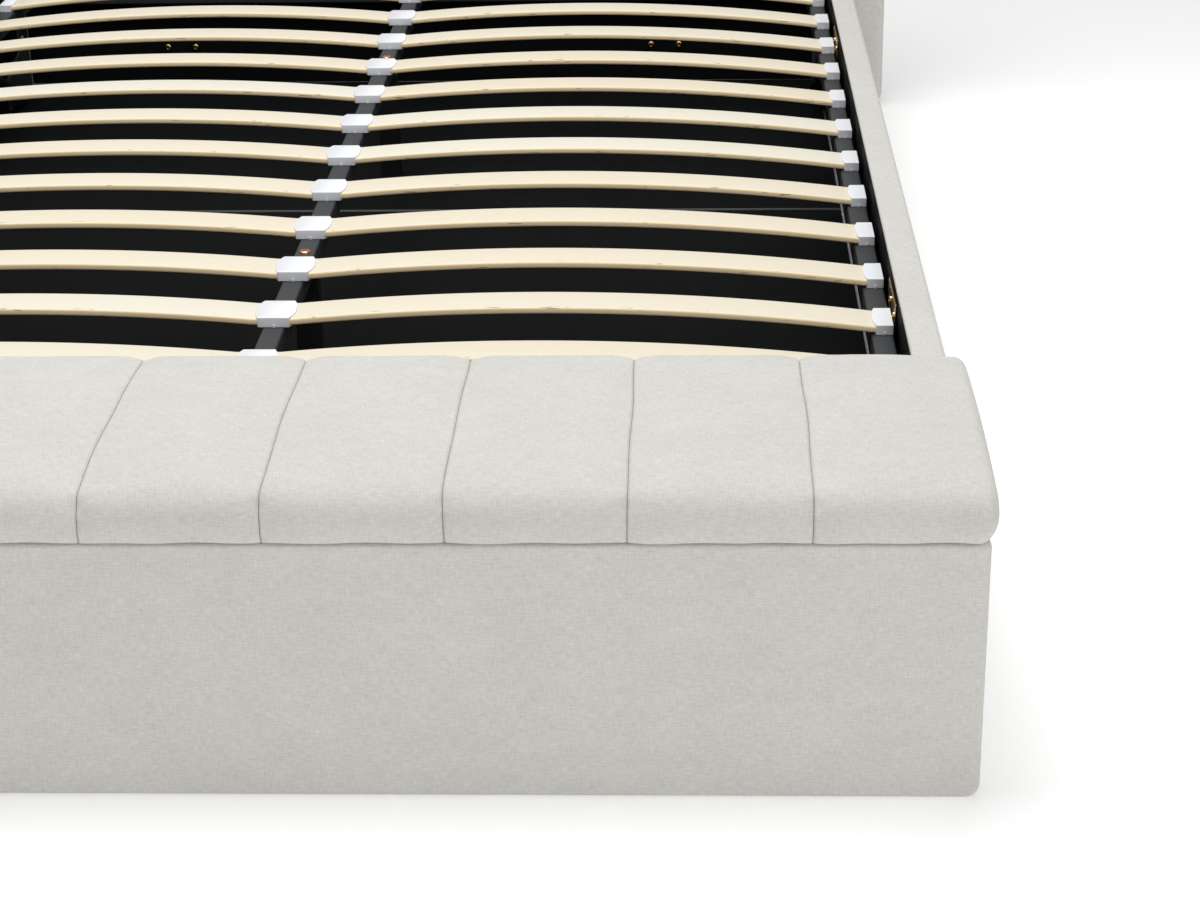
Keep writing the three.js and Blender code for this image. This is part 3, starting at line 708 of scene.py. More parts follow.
def side_rail(word, side):
    out, top = HALF_BED + RAIL_PADDING, RAIL_TOP + RAIL_PADDING
    section = [(out, 0), (HALF_WELL + LINING_SET_BACK, 0)]
    section += [(HALF_WELL + LINING_SET_BACK, top - RAIL_TURN - MM), (HALF_WELL, top - RAIL_TURN)]
    inner = (HALF_WELL + RAIL_ROUND_INNER, top - RAIL_ROUND_INNER)
    outer = (out - RAIL_ROUND_OUTER, top - RAIL_ROUND_OUTER)
    section += arc(inner, RAIL_ROUND_INNER, math.pi, math.pi / 2)
    section += arc(outer, RAIL_ROUND_OUTER, math.pi / 2, 0)
    section = [(side * x, z) for x, z in section]
    piece = smoothed(drawn_out(f"rail_cover_{word}", section, np.linspace(WELL_FOOT, WELL_HEAD, RAIL_STEPS)))
    lay_cloth(piece.data)
    settle(piece, "base", "woven_fabric", cloth, lining)
    lined(piece, lambda centre, normal: -side * normal.x > EDGE_FACING and centre.z < top - RAIL_TURN)
    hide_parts(f"side_rail_{word}")


def floor_batten(word, side):
    near, out = side * BATTEN_IN, side * (HALF_WELL + LINING_SET_BACK)
    section = [(near, 0), (out, 0), (out, BATTEN_TOP), (near, BATTEN_TOP)]
    piece = eased(drawn_out(f"floor_batten_{word}", section, (WELL_FOOT, WELL_HEAD)), BOARD_ROUND)
    settle(piece, "base", "plywood", batten_face)


for word, side in SIDES:
    side_rail(word, side)
    floor_batten(word, side)
print("rails", round((HALF_BED - HALF_WELL) / MM, 1), "mm thick")

# %% [markdown]
# ## Growing repeated pieces with Geometry Nodes
# A row of slats or screws is one shape set down many times. A Geometry Nodes tree does that and keeps
# its sizes as named inputs. The result is turned into a plain mesh, because an export drops instances.
# The class that writes shader sums wires these trees too.

# %% Tree helpers
FLOAT, VECTOR, COUNT = "NodeSocketFloat", "NodeSocketVector", "NodeSocketInt"


def new_tree(name, sizes):
    """An empty Geometry Nodes tree with named size inputs, and the wires of its inputs."""
    tree = bpy.data.node_groups.new(name, "GeometryNodeTree")
    tree.interface.new_socket("Shape", in_out="INPUT", socket_type="NodeSocketGeometry")
    for size, kind in sizes.items():
        tree.interface.new_socket(size, in_out="INPUT", socket_type=kind)
    tree.interface.new_socket("Shape", in_out="OUTPUT", socket_type="NodeSocketGeometry")
    inputs = tree.nodes.new("NodeGroupInput")
    return tree, Wire(tree), {socket.name: Wire(tree, socket) for socket in inputs.outputs if socket.name}


def end_tree(tree, wire, finish):
    """Every tree ends by making its copies real and giving them their finish."""
    real = wire.add("GeometryNodeRealizeInstances", {}, {0: wire})
    done = wire.add("GeometryNodeSetMaterial", {}, {"Geometry": real, "Material": finish})
    output = tree.nodes.new("NodeGroupOutput")
    tree.links.new(done.socket, output.inputs[0])


def grown(name, tree, sizes, base_mesh=None):
    """A plain mesh piece from a tree, with its inputs set by identifier before it is evaluated."""
    piece = new_piece(name, base_mesh or bpy.data.meshes.new(name))
    growth = piece.modifiers.new("growth", "NODES")
    growth.node_group = tree
    for item in tree.interface.items_tree:
        if item.in_out == "INPUT" and item.name in sizes:
            growth[item.identifier] = sizes[item.name]
    piece = applied(piece)
    piece.data.name = name
    return piece


def set_down(start, sizes, shape):
    """Copies of a shape in an even row."""
    line = start.add("GeometryNodeMeshLine", {"mode": "OFFSET"}, {
        "Count": sizes["Count"], "Start Location": sizes["First"], "Offset": sizes["Step"],
    })
    return start.add("GeometryNodeInstanceOnPoints", {}, {"Points": line, "Instance": shape})


def stored(start, geometry, name, value, domain="POINT"):
    """The geometry with an attribute that a finish reads."""
    return start.add("GeometryNodeStoreNamedAttribute", {"data_type": "FLOAT", "domain": domain}, {
        "Geometry": geometry, "Name": name, "Value": value,
    })


def row_tree(name, finish):
    """Sets its shape down in an even row."""
    tree, start, sizes = new_tree(name, {"Count": COUNT, "First": VECTOR, "Step": VECTOR})
    end_tree(tree, set_down(start, sizes, sizes["Shape"]), finish)
    return tree


print("tree helpers ready")

# %% [markdown]
# ## The sprung slats
# Each slat is a rounded bar, flat in its holders and bowed upwards between them, and its outer end lies
# a little lower than its inner one. The tree draws a line from holder to holder, lifts it by a parabola,
# sweeps a filleted rectangle along it, and then sets the slat down once for each row. It also stores the
# attributes that the birch finish reads. The bow is worked out from the height of a slat's whole box.

# %% Slats
SLAT_LOW, SLAT_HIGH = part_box("slat_right_01")
SLAT_WIDTH = SLAT_HIGH.y - SLAT_LOW.y
SLAT_THICKNESS = 8.0 * MM
SLAT_CREST = SLAT_HIGH.z - SLAT_LOW.z - SLAT_THICKNESS - CENTRE_RISE / 2
SLAT_BOW = (SLAT_CREST + math.sqrt(SLAT_CREST**2 - CENTRE_RISE**2 / 4)) / 2
SLAT_OUTER_MIDDLE = SLAT_LOW.z + SLAT_THICKNESS / 2
SLAT_INNER_MIDDLE = SLAT_OUTER_MIDDLE + CENTRE_RISE
SLAT_EDGE_ROUND = 2.6 * MM
HOLDER_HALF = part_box("centre_rail")[1].x
CAP_SET_BACK = 0.5 * MM
CAP_OUTER = SIDE_TUBE_OUT - CAP_SET_BACK
CAP_LIP = 19.0 * MM
CAP_TONGUE = 3.5 * MM
CAP_INNER = CAP_OUTER - CAP_LIP - CAP_TONGUE
SLAT_POINTS = 72


def slat_tree():
    tree, start, sizes = new_tree("slat_rows", {
        "Inner End": FLOAT, "Outer End": FLOAT, "Bow Start": FLOAT, "Bow End": FLOAT, "Bow": FLOAT,
        "Fall": FLOAT, "Width": FLOAT, "Thickness": FLOAT, "Edge Round": FLOAT, "Inner Height": FLOAT,
        "Turn": FLOAT, "Count": COUNT, "First": VECTOR, "Step": VECTOR, "Seed": COUNT,
    })
    ends = [
        start.add("ShaderNodeCombineXYZ", {}, {"X": sizes[end], "Z": sizes["Inner Height"]})
        for end in ("Inner End", "Outer End")
    ]
    line = start.add("GeometryNodeCurvePrimitiveLine", {}, {"Start": ends[0], "End": ends[1]})
    line = start.add("GeometryNodeResampleCurve", {}, {"Curve": line, "Count": SLAT_POINTS})
    place = start.add("GeometryNodeInputPosition")
    span = sizes["Bow End"] - sizes["Bow Start"]
    share = start.maths("DIVIDE", place.axis(0) - sizes["Bow Start"], span, use_clamp=True)
    lift = sizes["Bow"] * share * (1 - share) * 4.0 - sizes["Fall"] * share
    offset = start.add("ShaderNodeCombineXYZ", {}, {"Z": lift})
    line = start.add("GeometryNodeSetPosition", {}, {"Geometry": line, "Offset": offset})
    section = start.add("GeometryNodeCurvePrimitiveQuadrilateral", {}, {
        "Width": sizes["Width"], "Height": sizes["Thickness"],
    })
    section = start.add("GeometryNodeFilletCurve", {"mode": "POLY"}, {
        "Curve": section, "Radius": sizes["Edge Round"], "Count": 4,
    })
    bar = start.add("GeometryNodeCurveToMesh", {}, {
        "Curve": line, "Profile Curve": section, "Fill Caps": True,
    })
    turn = start.add("ShaderNodeCombineXYZ", {}, {"Z": sizes["Turn"]})
    bar = start.add("GeometryNodeTransform", {}, {"Geometry": bar, "Rotation": turn})
    bar = stored(start, bar, "across", start.maths("DIVIDE", place.axis(1) * 2.0, sizes["Width"]))
    tone = start.add("FunctionNodeRandomValue", {"data_type": "FLOAT"}, {"Seed": sizes["Seed"]}, output=1)
    end_tree(tree, stored(start, set_down(start, sizes, bar), "tone", tone, "INSTANCE"), birch)
    return tree


slat_rows = slat_tree()
for word, turn, seed in (("right", 0.0, 3), ("left", math.pi, 11)):
    slats = smoothed(grown(f"slats_{word}", slat_rows, {
        "Inner End": SLAT_LOW.x, "Outer End": SLAT_HIGH.x, "Bow Start": HOLDER_HALF, "Bow End": CAP_INNER,
        "Bow": SLAT_BOW, "Fall": CENTRE_RISE, "Width": SLAT_WIDTH, "Thickness": SLAT_THICKNESS,
        "Edge Round": SLAT_EDGE_ROUND, "Inner Height": SLAT_INNER_MIDDLE, "Turn": turn, "Count": SLAT_ROWS,
        "First": (0.0, FIRST_SLAT, 0.0), "Step": (0.0, SLAT_PITCH, 0.0), "Seed": seed,
    }))
    settle(slats, "platform", "birch", birch)
    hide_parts(*[f"slat_{word}_{row:02d}" for row in range(1, SLAT_ROWS + 1)])
    low, high = [Vector(corner) for corner in (slats.bound_box[0], slats.bound_box[6])]
    print("slats", word, "reach", [round(v, 4) for v in low], "to", [round(v, 4) for v in high])

# %% [markdown]
# ## The plastic holders
# A holder is a flat sleeve that the slat end pushes into. Seen from above its sides swell out as
# tongues over the slat, and a short pin shows under its front lip. One holder is made as a closed shape
# with its slots cut by Boolean modifiers, and the row tree then sets it down at every slat.

# %% Holders
HOLDER_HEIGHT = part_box("centre_rail")[1].z - CENTRE_TOP
HOLDER_WALL = 1.5 * MM
SLOT_FIT = 0.3 * MM
HOLDER_DEPTH = SLAT_WIDTH + 2 * (HOLDER_WALL + SLOT_FIT)
TONGUE = 5.5 * MM
TONGUE_FULLNESS = 2.6
HOLDER_SHARP = math.radians(20)
CAP_END_WALL = 3.0 * MM
HOLDER_LIFT = 0.1 * MM
OUTLINE_STEPS = 18
HOLDER_EASE = 0.5 * MM
PIN_RADIUS = 2.1 * MM
PIN_LENGTH = 3.2 * MM
PIN_LIFT = 1.2 * MM
PIN_TAPER = 0.8
PIN_SUNK = 0.35


def tongue_line(lip, tongue):
    """Half outline of a holder: how far it reaches at each place from its front to its back."""
    shares = np.linspace(0, 1, OUTLINE_STEPS)
    reach = lip + tongue * (1 - np.abs(2 * shares - 1) ** TONGUE_FULLNESS)
    return [(r, (s - 0.5) * HOLDER_DEPTH) for r, s in zip(reach, shares)]


def holder(name, outline, slots, base, slot_height):
    """One moulded sleeve standing on a tube at base, with a slot for each slat end."""
    rings = [[(x, y, z) for x, y in outline] for z in (base + HOLDER_LIFT, base + HOLDER_HEIGHT)]
    piece = eased(piece_of(name, skinned(rings)), HOLDER_EASE, 2)
    opening = (SLAT_WIDTH + 2 * SLOT_FIT, SLAT_THICKNESS + 2 * SLOT_FIT)
    cutters = [
        block(f"{name}_slot_{number}", (right - left, *opening), ((left + right) / 2, 0, slot_height))
        for number, (left, right) in enumerate(slots)
    ]
    return cut_out(piece, cutters)


def lip_pin(shape_mesh, x, base):
    """Adds the short pin under a holder's front lip."""
    shape = bmesh.new()
    shape.from_mesh(shape_mesh)
    made = bmesh.ops.create_cone(
        shape, cap_ends=True, segments=14, radius1=PIN_RADIUS * PIN_TAPER, radius2=PIN_RADIUS,
        depth=PIN_LENGTH,
    )
    place = (x, -HOLDER_DEPTH / 2 + PIN_RADIUS * PIN_SUNK, base + HOLDER_LIFT + PIN_LIFT)
    bmesh.ops.translate(shape, verts=made["verts"], vec=place)
    shape.to_mesh(shape_mesh)
    shape.free()


def double_outline():
    half = tongue_line(HOLDER_HALF - TONGUE, TONGUE)
    return half + [(-x, y) for x, y in reversed(half)]


def cap_outline(side):
    inner = [(side * (CAP_OUTER - reach), y) for reach, y in tongue_line(CAP_LIP, CAP_TONGUE)]
    return inner + [(side * CAP_OUTER, HOLDER_DEPTH / 2), (side * CAP_OUTER, -HOLDER_DEPTH / 2)]


holder_row = row_tree("holder_row", plastic)
row_sizes = {"Count": SLAT_ROWS, "First": (0.0, FIRST_SLAT, 0.0), "Step": (0.0, SLAT_PITCH, 0.0)}


def place_holders(name, outline, slots, pin_x, base, slot_height):
    single = holder(name + "_single", outline, slots, base, slot_height)
    lip_pin(single.data, pin_x, base)
    piece = smoothed(grown(name, holder_row, row_sizes, single.data), HOLDER_SHARP)
    bpy.data.objects.remove(single)
    settle(piece, "platform", "white_plastic", plastic)


OVERRUN = 2.0 * MM
inner_slot = (SLAT_LOW.x - SLOT_FIT, HOLDER_HALF + OVERRUN)
inner_slots = [inner_slot, (-inner_slot[1], -inner_slot[0])]
place_holders("centre_holders", double_outline(), inner_slots, 0.0, CENTRE_TOP, SLAT_INNER_MIDDLE)
for word, side in SIDES:
    reach = CAP_LIP + CAP_TONGUE + OVERRUN
    slot = sorted((side * (CAP_OUTER - reach), side * (CAP_OUTER - CAP_END_WALL)))
    pin = side * (CAP_OUTER - CAP_LIP / 2)
    place_holders(f"end_caps_{word}", cap_outline(side), [slot], pin, TUBE_TOP, SLAT_OUTER_MIDDLE)
print("holders", round(2 * HOLDER_HALF / MM, 1), "mm wide over their tongues")

# %% [markdown]
# ## The platform's tubes
# The side tubes and the centre rail are hollow square tube with rounded corners. They are drawn again
# here, without the holders that the frame's solids carry, and the side tubes keep the hole that the
# pivot pin runs in.

# %% Tubes
TUBE_SIZE = TUBE_TOP - TUBE_LOW
TUBE_WALL = 1.5 * MM
TUBE_CORNER = 3.0 * MM
PIVOT = Vector(next(joint for joint in frame["joints"] if joint["name"] == "platform_hinge")["pos_m"])
PIVOT_HOLE = 6.3 * MM
CORNER_STEPS = 5


def rounded_square(centre, half, corner):
    points = []
    for quarter in range(4):
        angle = quarter * math.pi / 2
        turn_x = math.copysign(1, math.cos(angle + math.pi / 4))
        turn_z = math.copysign(1, math.sin(angle + math.pi / 4))
        middle = (centre[0] + turn_x * (half - corner), centre[1] + turn_z * (half - corner))
        points += arc(middle, corner, angle, angle + math.pi / 2, CORNER_STEPS)
    return points


def square_tube(name, x, low, front, back):
    half = TUBE_SIZE / 2
    centre = (x, low + half)
    outside = rounded_square(centre, half, TUBE_CORNER)
    inside = rounded_square(centre, half - TUBE_WALL, TUBE_CORNER - TUBE_WALL)
    return hollow(name, outside, inside, (front, back), lambda y, px, pz: (px, y, pz))


def drilled(piece, place):
    """Drills the pivot's hole through a side tube."""
    shape = bmesh.new()
    turned = Matrix.Translation(place) @ Matrix.Rotation(math.pi / 2, 4, "Y")
    bmesh.ops.create_cone(
        shape, cap_ends=True, segments=32, radius1=PIVOT_HOLE, radius2=PIVOT_HOLE, depth=TUBE_SIZE * 2,
        matrix=turned,
    )
    cut_out(piece, [piece_of("drill", shape)])


def finish_tube(piece, *nodes):
    settle(smoothed(piece), "platform", "dark_steel", steel)
    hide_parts(*nodes)


for word, side in SIDES:
    x = side * (SIDE_TUBE_IN + TUBE_SIZE / 2)
    tube = square_tube(f"side_tube_{word}_piece", x, TUBE_LOW, TUBE_FOOT, TUBE_HEAD)
    drilled(tube, Vector((x, PIVOT.y, PIVOT.z)))
    finish_tube(tube, f"side_tube_{word}")
rail_foot, rail_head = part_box("centre_rail")[0].y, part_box("centre_rail")[1].y
rail = square_tube("centre_rail_piece", 0.0, CENTRE_LOW, rail_foot, rail_head)
finish_tube(rail, "centre_rail")
print("tubes", round(TUBE_SIZE / MM, 1), "mm square")

# %% [markdown]
# ## Screws and bolts
# The centre rail has a copper-coloured bolt above each leg, and each lift bracket has two on its inner
# face. The rest brackets are fixed with two brass bolts each, the hinge with a row of small screws, and
# two pairs of bolts show low on the headboard. All are the same turned shape at different sizes: a low
# dome with a round recess, spun from a profile.

# %% Bolt heads
BOLT_SIDES = 20
BOLT_PROFILE = ((1.0, 0.0), (1.0, 0.35), (0.93, 0.62), (0.78, 0.85), (0.55, 1.0), (0.42, 1.0), (0.38, 0.45))


def bolt_head(name, radius, height, direction):
    """A domed head on the plane through the origin, facing along direction, with a recess."""
    turns = [2 * math.pi * side / BOLT_SIDES for side in range(BOLT_SIDES)]
    shape = skinned([
        [(share * radius * math.cos(turn), share * radius * math.sin(turn), rise * height) for turn in turns]
        for share, rise in BOLT_PROFILE
    ])
    turned = Vector(direction).to_track_quat("Z", "Y").to_matrix().to_4x4()
    bmesh.ops.transform(shape, matrix=turned, verts=shape.verts)
    return mesh_of(name, shape)


bolt_looks = {
    "copper": (row_tree("copper_row", copper), copper),
    "brass": (row_tree("brass_row", brass), brass),
}


def bolt_row(name, metal, body, head, direction, count, first, step):
    """A row of bolts. The head is its radius and height, and first is where the first one sits."""
    tree, finish = bolt_looks[metal]
    mesh = bolt_head(name + "_head", *head, direction)
    piece = grown(name, tree, {"Count": count, "First": tuple(first), "Step": tuple(step)}, mesh)
    settle(smoothed(piece), body, "brass", finish)


print("bolt heads have", BOLT_SIDES, "sides")

# %% Bolts and screws
LEG_BOLT = (7.2 * MM, 2.8 * MM)
BRACKET_BOLT = (4.4 * MM, 2.4 * MM)
BRACKET_SHEET = 2.5 * MM
BRACKET_BOLT_SPACING = 52.0 * MM
BRACKET_BOLT_SHIFT = 15.0 * MM
BRACKET_BOLT_DROP = 14.0 * MM
LIFT_BOLT = (5.0 * MM, 3.0 * MM)
LIFT_SHEET = 4.0 * MM
LIFT_BOLTS_HEIGHT = 0.149
LIFT_BOLTS_FOOT = 1.027
LIFT_BOLTS_SPACING = 58.0 * MM
HINGE_SCREW = (3.2 * MM, 1.0 * MM)
HINGE_SCREWS = 11
HINGE_MARGIN = 40 * MM
HINGE_SHEET = 1.2 * MM
HINGE_SCREW_RISE = 9 * MM

leg_middles = [(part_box(leg)[0].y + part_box(leg)[1].y) / 2 for leg in ("centre_leg_foot", "centre_leg_head")]
bolt_row("leg_bolts", "copper", "platform", LEG_BOLT, (0, 0, 1), 2,
         (0, leg_middles[0], CENTRE_TOP), (0, leg_middles[1] - leg_middles[0], 0))
for end in ("foot", "head"):
    for word, side in SIDES:
        low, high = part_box(f"rest_bracket_{end}_{word}")
        first_bolt = (low.y + high.y) / 2 - BRACKET_BOLT_SPACING / 2 - BRACKET_BOLT_SHIFT
        first = (side * (HALF_WELL - BRACKET_SHEET), first_bolt, high.z - BRACKET_BOLT_DROP)
        bolt_row(f"bracket_bolts_{end}_{word}", "brass", "base", BRACKET_BOLT, (-side, 0, 0), 2,
                 first, (0, BRACKET_BOLT_SPACING, 0))
for word, side in SIDES:
    first = (side * (HALF_WELL - LIFT_SHEET), LIFT_BOLTS_FOOT, LIFT_BOLTS_HEIGHT)
    bolt_row(f"lift_bolts_{word}", "copper", "base", LIFT_BOLT, (-side, 0, 0), 2,
             first, (0, LIFT_BOLTS_SPACING, 0))
hinge_low, hinge_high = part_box("lid_hinge_fixed_leaf")
hinge_step = (hinge_high.x - hinge_low.x - 2 * HINGE_MARGIN) / (HINGE_SCREWS - 1)
bolt_row("hinge_screws", "brass", "base", HINGE_SCREW, (0, 1, 0), HINGE_SCREWS,
         hinge_low + Vector((HINGE_MARGIN, HINGE_SHEET, HINGE_SCREW_RISE)), (hinge_step, 0, 0))
print("bolts and screws set")

# %% [markdown]
# ## The headboard's frame and its lining
# The headboard is a thick padded panel with a sunk field for its channelled pad. Below the mattress its
# face is lined in black like the rest of the inside, and the bolts that hold it show there.

# %% Headboard frame
HEADBOARD_ROUND = 2.0 * MM
LINING_THICKNESS = 0.8 * MM
LINING_ROUND = 0.2 * MM
LINING_LOW = FLOOR_TOP + MM
LINING_TOP = RAIL_TOP - LINING_DROP
HEAD_BOLT = (6.5 * MM, 3.5 * MM)
HEAD_BOLT_REACH = 0.453
HEAD_BOLT_SPACING = 49.0 * MM
HEAD_BOLT_HEIGHT = 0.116

headboard = refined("headboard_panel", cloth, "woven_fabric", HEADBOARD_ROUND)
lay_cloth(headboard.data)
lining_size = (2 * (HALF_WELL - MM), LINING_THICKNESS, LINING_TOP - LINING_LOW)
lining_middle = (0, WELL_HEAD - LINING_THICKNESS / 2, (LINING_LOW + LINING_TOP) / 2)
headboard_lining = eased(block("headboard_lining", lining_size, lining_middle), LINING_ROUND, 2)
settle(headboard_lining, "base", "black_lining", lining)
for word, side in SIDES:
    bolt_row(f"headboard_bolts_{word}", "brass", "base", HEAD_BOLT, (0, -1, 0), 2,
             (side * HEAD_BOLT_REACH, WELL_HEAD - LINING_THICKNESS, HEAD_BOLT_HEIGHT),
             (-side * HEAD_BOLT_SPACING, 0, 0))

# %% [markdown]
# ## The channelled pads
# The bench lid and the headboard carry the same kind of pad: foam under cloth that is sewn down in
# straight channels. It could be sculpted by hand, but cloth swells in its own way between two seams.
# So the pad is first drawn as an even grid with shallow channels. Blender's Cloth then blows it up a
# little while the seams and the stapled edges are held, and what it does is capped to a few
# millimetres. The narrow seam grooves, small puckers and tucked corners are added last, on a finer grid.
# A pad may lean, which lowers its near shoulder, and its stapled hem may wander up and down a little.

# %% A pad's section
PAD_ROWS = 92
ARC_POINTS = 12
CROWN_POINTS = 40
CROWN_FULLNESS = 2.4


def pad_profile(low, high, base, top, edge, crown, rows, lean=0.0):
    """Points (along, up) of a pad's section, evenly spaced from one tacked edge over to the other.

    Its near shoulder lies lower than its far one by the lean.
    """
    shoulder = top - crown
    turn = np.linspace(0, math.pi / 2, ARC_POINTS)
    near = np.column_stack([low + edge * (1 - np.cos(turn)), shoulder - edge * (1 - np.sin(turn))])
    share = np.linspace(0, 1, CROWN_POINTS)[1:-1]
    over = np.column_stack([
        low + edge + (high - low - 2 * edge) * share,
        shoulder + crown * (1 - np.abs(2 * share - 1) ** CROWN_FULLNESS) - lean * (1 - share) ** 2,
    ])
    far = np.column_stack([low + high - near[::-1, 0], near[::-1, 1]])
    near[:, 1] -= lean
    points = np.vstack([[(low, base)], near, over, far, [(high, base)]])
    steps = np.concatenate([[0], np.cumsum(np.hypot(*np.diff(points, axis=0).T))])
    even = np.linspace(0, steps[-1], rows)
    return np.column_stack([np.interp(even, steps, points[:, 0]), np.interp(even, steps, points[:, 1])]), even


def outward(profile):
    """Unit normals of a section, pointing out of the pad."""
    slope = np.gradient(profile, axis=0)
    normal = np.column_stack([-slope[:, 1], slope[:, 0]])
    return normal / np.linalg.norm(normal, axis=1, keepdims=True)


print("pad sections have", PAD_ROWS, "points")

# %% [markdown]
# A pad is described by a few sizes. `shaped` turns them into a grid of points: one section for each
# place across the bed, drawn in near the seams and rounded at both ends.

# %% A pad's grid
END_STEPS = 9
SPREAD_STEPS = 10
COLUMN_GAP = 0.2 * MM
END_FALL_REACH = 90.0 * MM
HEM_WAVES = (23, 61)
SEAM_REACH = 30.0 * MM
SEAM_FULLNESS = 2.2
EDGE_DIP, EDGE_SHARE = 0.35, 0.06
NOTCH_HEIGHT, NOTCH_REACH = 9.0 * MM, 8.0 * MM
NOTCH_UP_THE_EDGE, FAR_NOTCH = 0.7, 0.6
SWAYS = ((0.9 * MM, 14), (0.5 * MM, 37))
SWAY_REACH = 25.0 * MM
GROOVE_DEPTH, GROOVE_REACH = 1.8 * MM, 1.1 * MM
PUCKER_DEPTH, PUCKER_PITCH, PUCKER_REACH = 0.35 * MM, 11.0 * MM, 5.0 * MM
PUCKER_WANDER = 60
SEAM_SHADE_REACH = 0.6 * MM
TUCK_HEIGHT, TUCK_REACH = 26.0 * MM, 50.0 * MM
DRAW_IN, DRAW_IN_HEIGHT = 3.0 * MM, 14.0 * MM


class Pad:
    """Sizes of one channelled pad. Low, high, base and top are along and up its own section."""

    def __init__(self, half_width, channels, low, high, base, top, **sizes):
        self.half_width, self.channels = half_width, channels
        self.low, self.high, self.base, self.top = low, high, base, top
        self.edge, self.crown, self.end_round = sizes["edge"], sizes["crown"], sizes["end_round"]
        self.seam_depth, self.tuck, self.notch = sizes["seam_depth"], sizes["tuck"], sizes["notch"]
        self.end_fall, self.lean, self.hem = sizes["end_fall"], sizes["lean"], sizes["hem"]
        self.seams = np.linspace(-half_width, half_width, channels + 1)[1:-1]
        self.wander = np.random.default_rng(sizes["seed"]).uniform(0, 2 * math.pi, (channels + 1, 4))

    def columns(self, offsets):
        """Places across the pad: rounded ends, and the same offsets beside every seam."""
        angles = np.linspace(0, math.pi / 2, END_STEPS)
        ends = self.half_width - self.end_round * (1 - np.cos(angles))
        pitch = 2 * self.half_width / self.channels
        inner = [seam + side * offset for seam in self.seams for offset in offsets for side in (-1, 1)]
        spread = np.linspace(self.half_width - pitch / 2, ends[-1], SPREAD_STEPS)[:-1]
        every = np.unique(np.round(np.concatenate([inner, ends, -ends, spread, -spread]), 6))
        return every[np.concatenate([[True], np.diff(every) > COLUMN_GAP])]


def smooth_step(value):
    value = np.clip(value, 0, 1)
    return value * value * (3 - 2 * value)


def bell(value, width):
    """1 where the value is 0, fading out over a width to both sides."""
    return np.exp(-(value / width) ** 2)


def shaped(pad, columns, rows, fine=False):
    """Grid of points (column, row, (x, along, up)), and how near each is to a seam."""
    grid = np.zeros((len(columns), rows, 3))
    seamed = np.zeros((len(columns), rows))
    for number, x in enumerate(columns):
        from_end = pad.half_width - abs(x)
        inset = 0.0
        if from_end < pad.end_round:
            inset = pad.end_round * (1 - math.sqrt(max(0.0, 1 - (1 - from_end / pad.end_round) ** 2)))
        fall = inset + pad.end_fall * smooth_step(1 - from_end / END_FALL_REACH)
        wander = math.sin(x * HEM_WAVES[0] + 1) * math.sin(x * HEM_WAVES[1])
        base = pad.base + pad.hem * (0.5 + 0.5 * wander)
        profile, even = pad_profile(
            pad.low + inset, pad.high - inset, base, pad.top - fall, pad.edge, pad.crown, rows, pad.lean,
        )
        normal = outward(profile)
        gap = np.abs(pad.seams - x)
        nearest = int(np.argmin(gap))
        distance = gap[nearest]
        share = even / even[-1]
        held = EDGE_DIP + (1 - EDGE_DIP) * smooth_step(np.minimum(share, 1 - share) / EDGE_SHARE)
        dip = pad.seam_depth * np.clip(1 - distance / SEAM_REACH, 0, 1) ** SEAM_FULLNESS * held
        wall = pad.top - pad.crown - pad.edge * NOTCH_UP_THE_EDGE - pad.base
        notch = bell(even - wall, NOTCH_HEIGHT) + FAR_NOTCH * bell(even[-1] - even - wall, NOTCH_HEIGHT)
        dip += pad.notch * notch * bell(distance, NOTCH_REACH)
        phase = pad.wander[nearest]
        sway = sum(size * np.sin(even * turns + start) for (size, turns), start in zip(SWAYS, phase))
        sway *= bell(distance, SWAY_REACH)
        if fine:
            dip += GROOVE_DEPTH * bell(distance, GROOVE_REACH)
            pucker = np.sin(even * 2 * math.pi / PUCKER_PITCH + 2 * np.sin(even * PUCKER_WANDER + phase[2]))
            dip += PUCKER_DEPTH * pucker * bell(distance - PUCKER_REACH, PUCKER_REACH)
            # How near a point is to a seam sets the painted shade of its groove.
            seamed[number] = bell(distance, SEAM_SHADE_REACH)
        placed = profile - normal * dip[:, None]
        height = placed[:, 1] - pad.base
        near_end = smooth_step(1 - from_end / TUCK_REACH)
        pull = pad.tuck * np.clip(1 - height / TUCK_HEIGHT, 0, 1) ** 2 * near_end
        draw_in = DRAW_IN * np.clip(1 - height / DRAW_IN_HEIGHT, 0, 1) ** 2
        grid[number, :, 0] = x - math.copysign(1, x) * pull + sway
        grid[number, :, 1] = placed[:, 0] + draw_in * np.sign(0.5 - share)
        grid[number, :, 2] = placed[:, 1]
    return grid, seamed


print("pads are rounded over", END_STEPS, "steps at their ends")

# %% [markdown]
# Cloth needs a mesh. The grid is closed underneath and at both ends, and a vertex group holds what a
# machinist and an upholsterer would: the seams, the ends and the stapled edges.

# %% Blow a pad up
CLOTH_FRAMES = 20
CLOTH_PRESSURE = 4.0
CLOTH_SETTINGS = {
    "quality": 5, "use_pressure": True, "uniform_pressure_force": CLOTH_PRESSURE,
    "tension_stiffness": 15, "compression_stiffness": 15, "shear_stiffness": 5, "bending_stiffness": 0.5,
}
SWELL_LIMIT = 3.0 * MM
END_HELD = 22.0 * MM
ROWS_HELD = 3


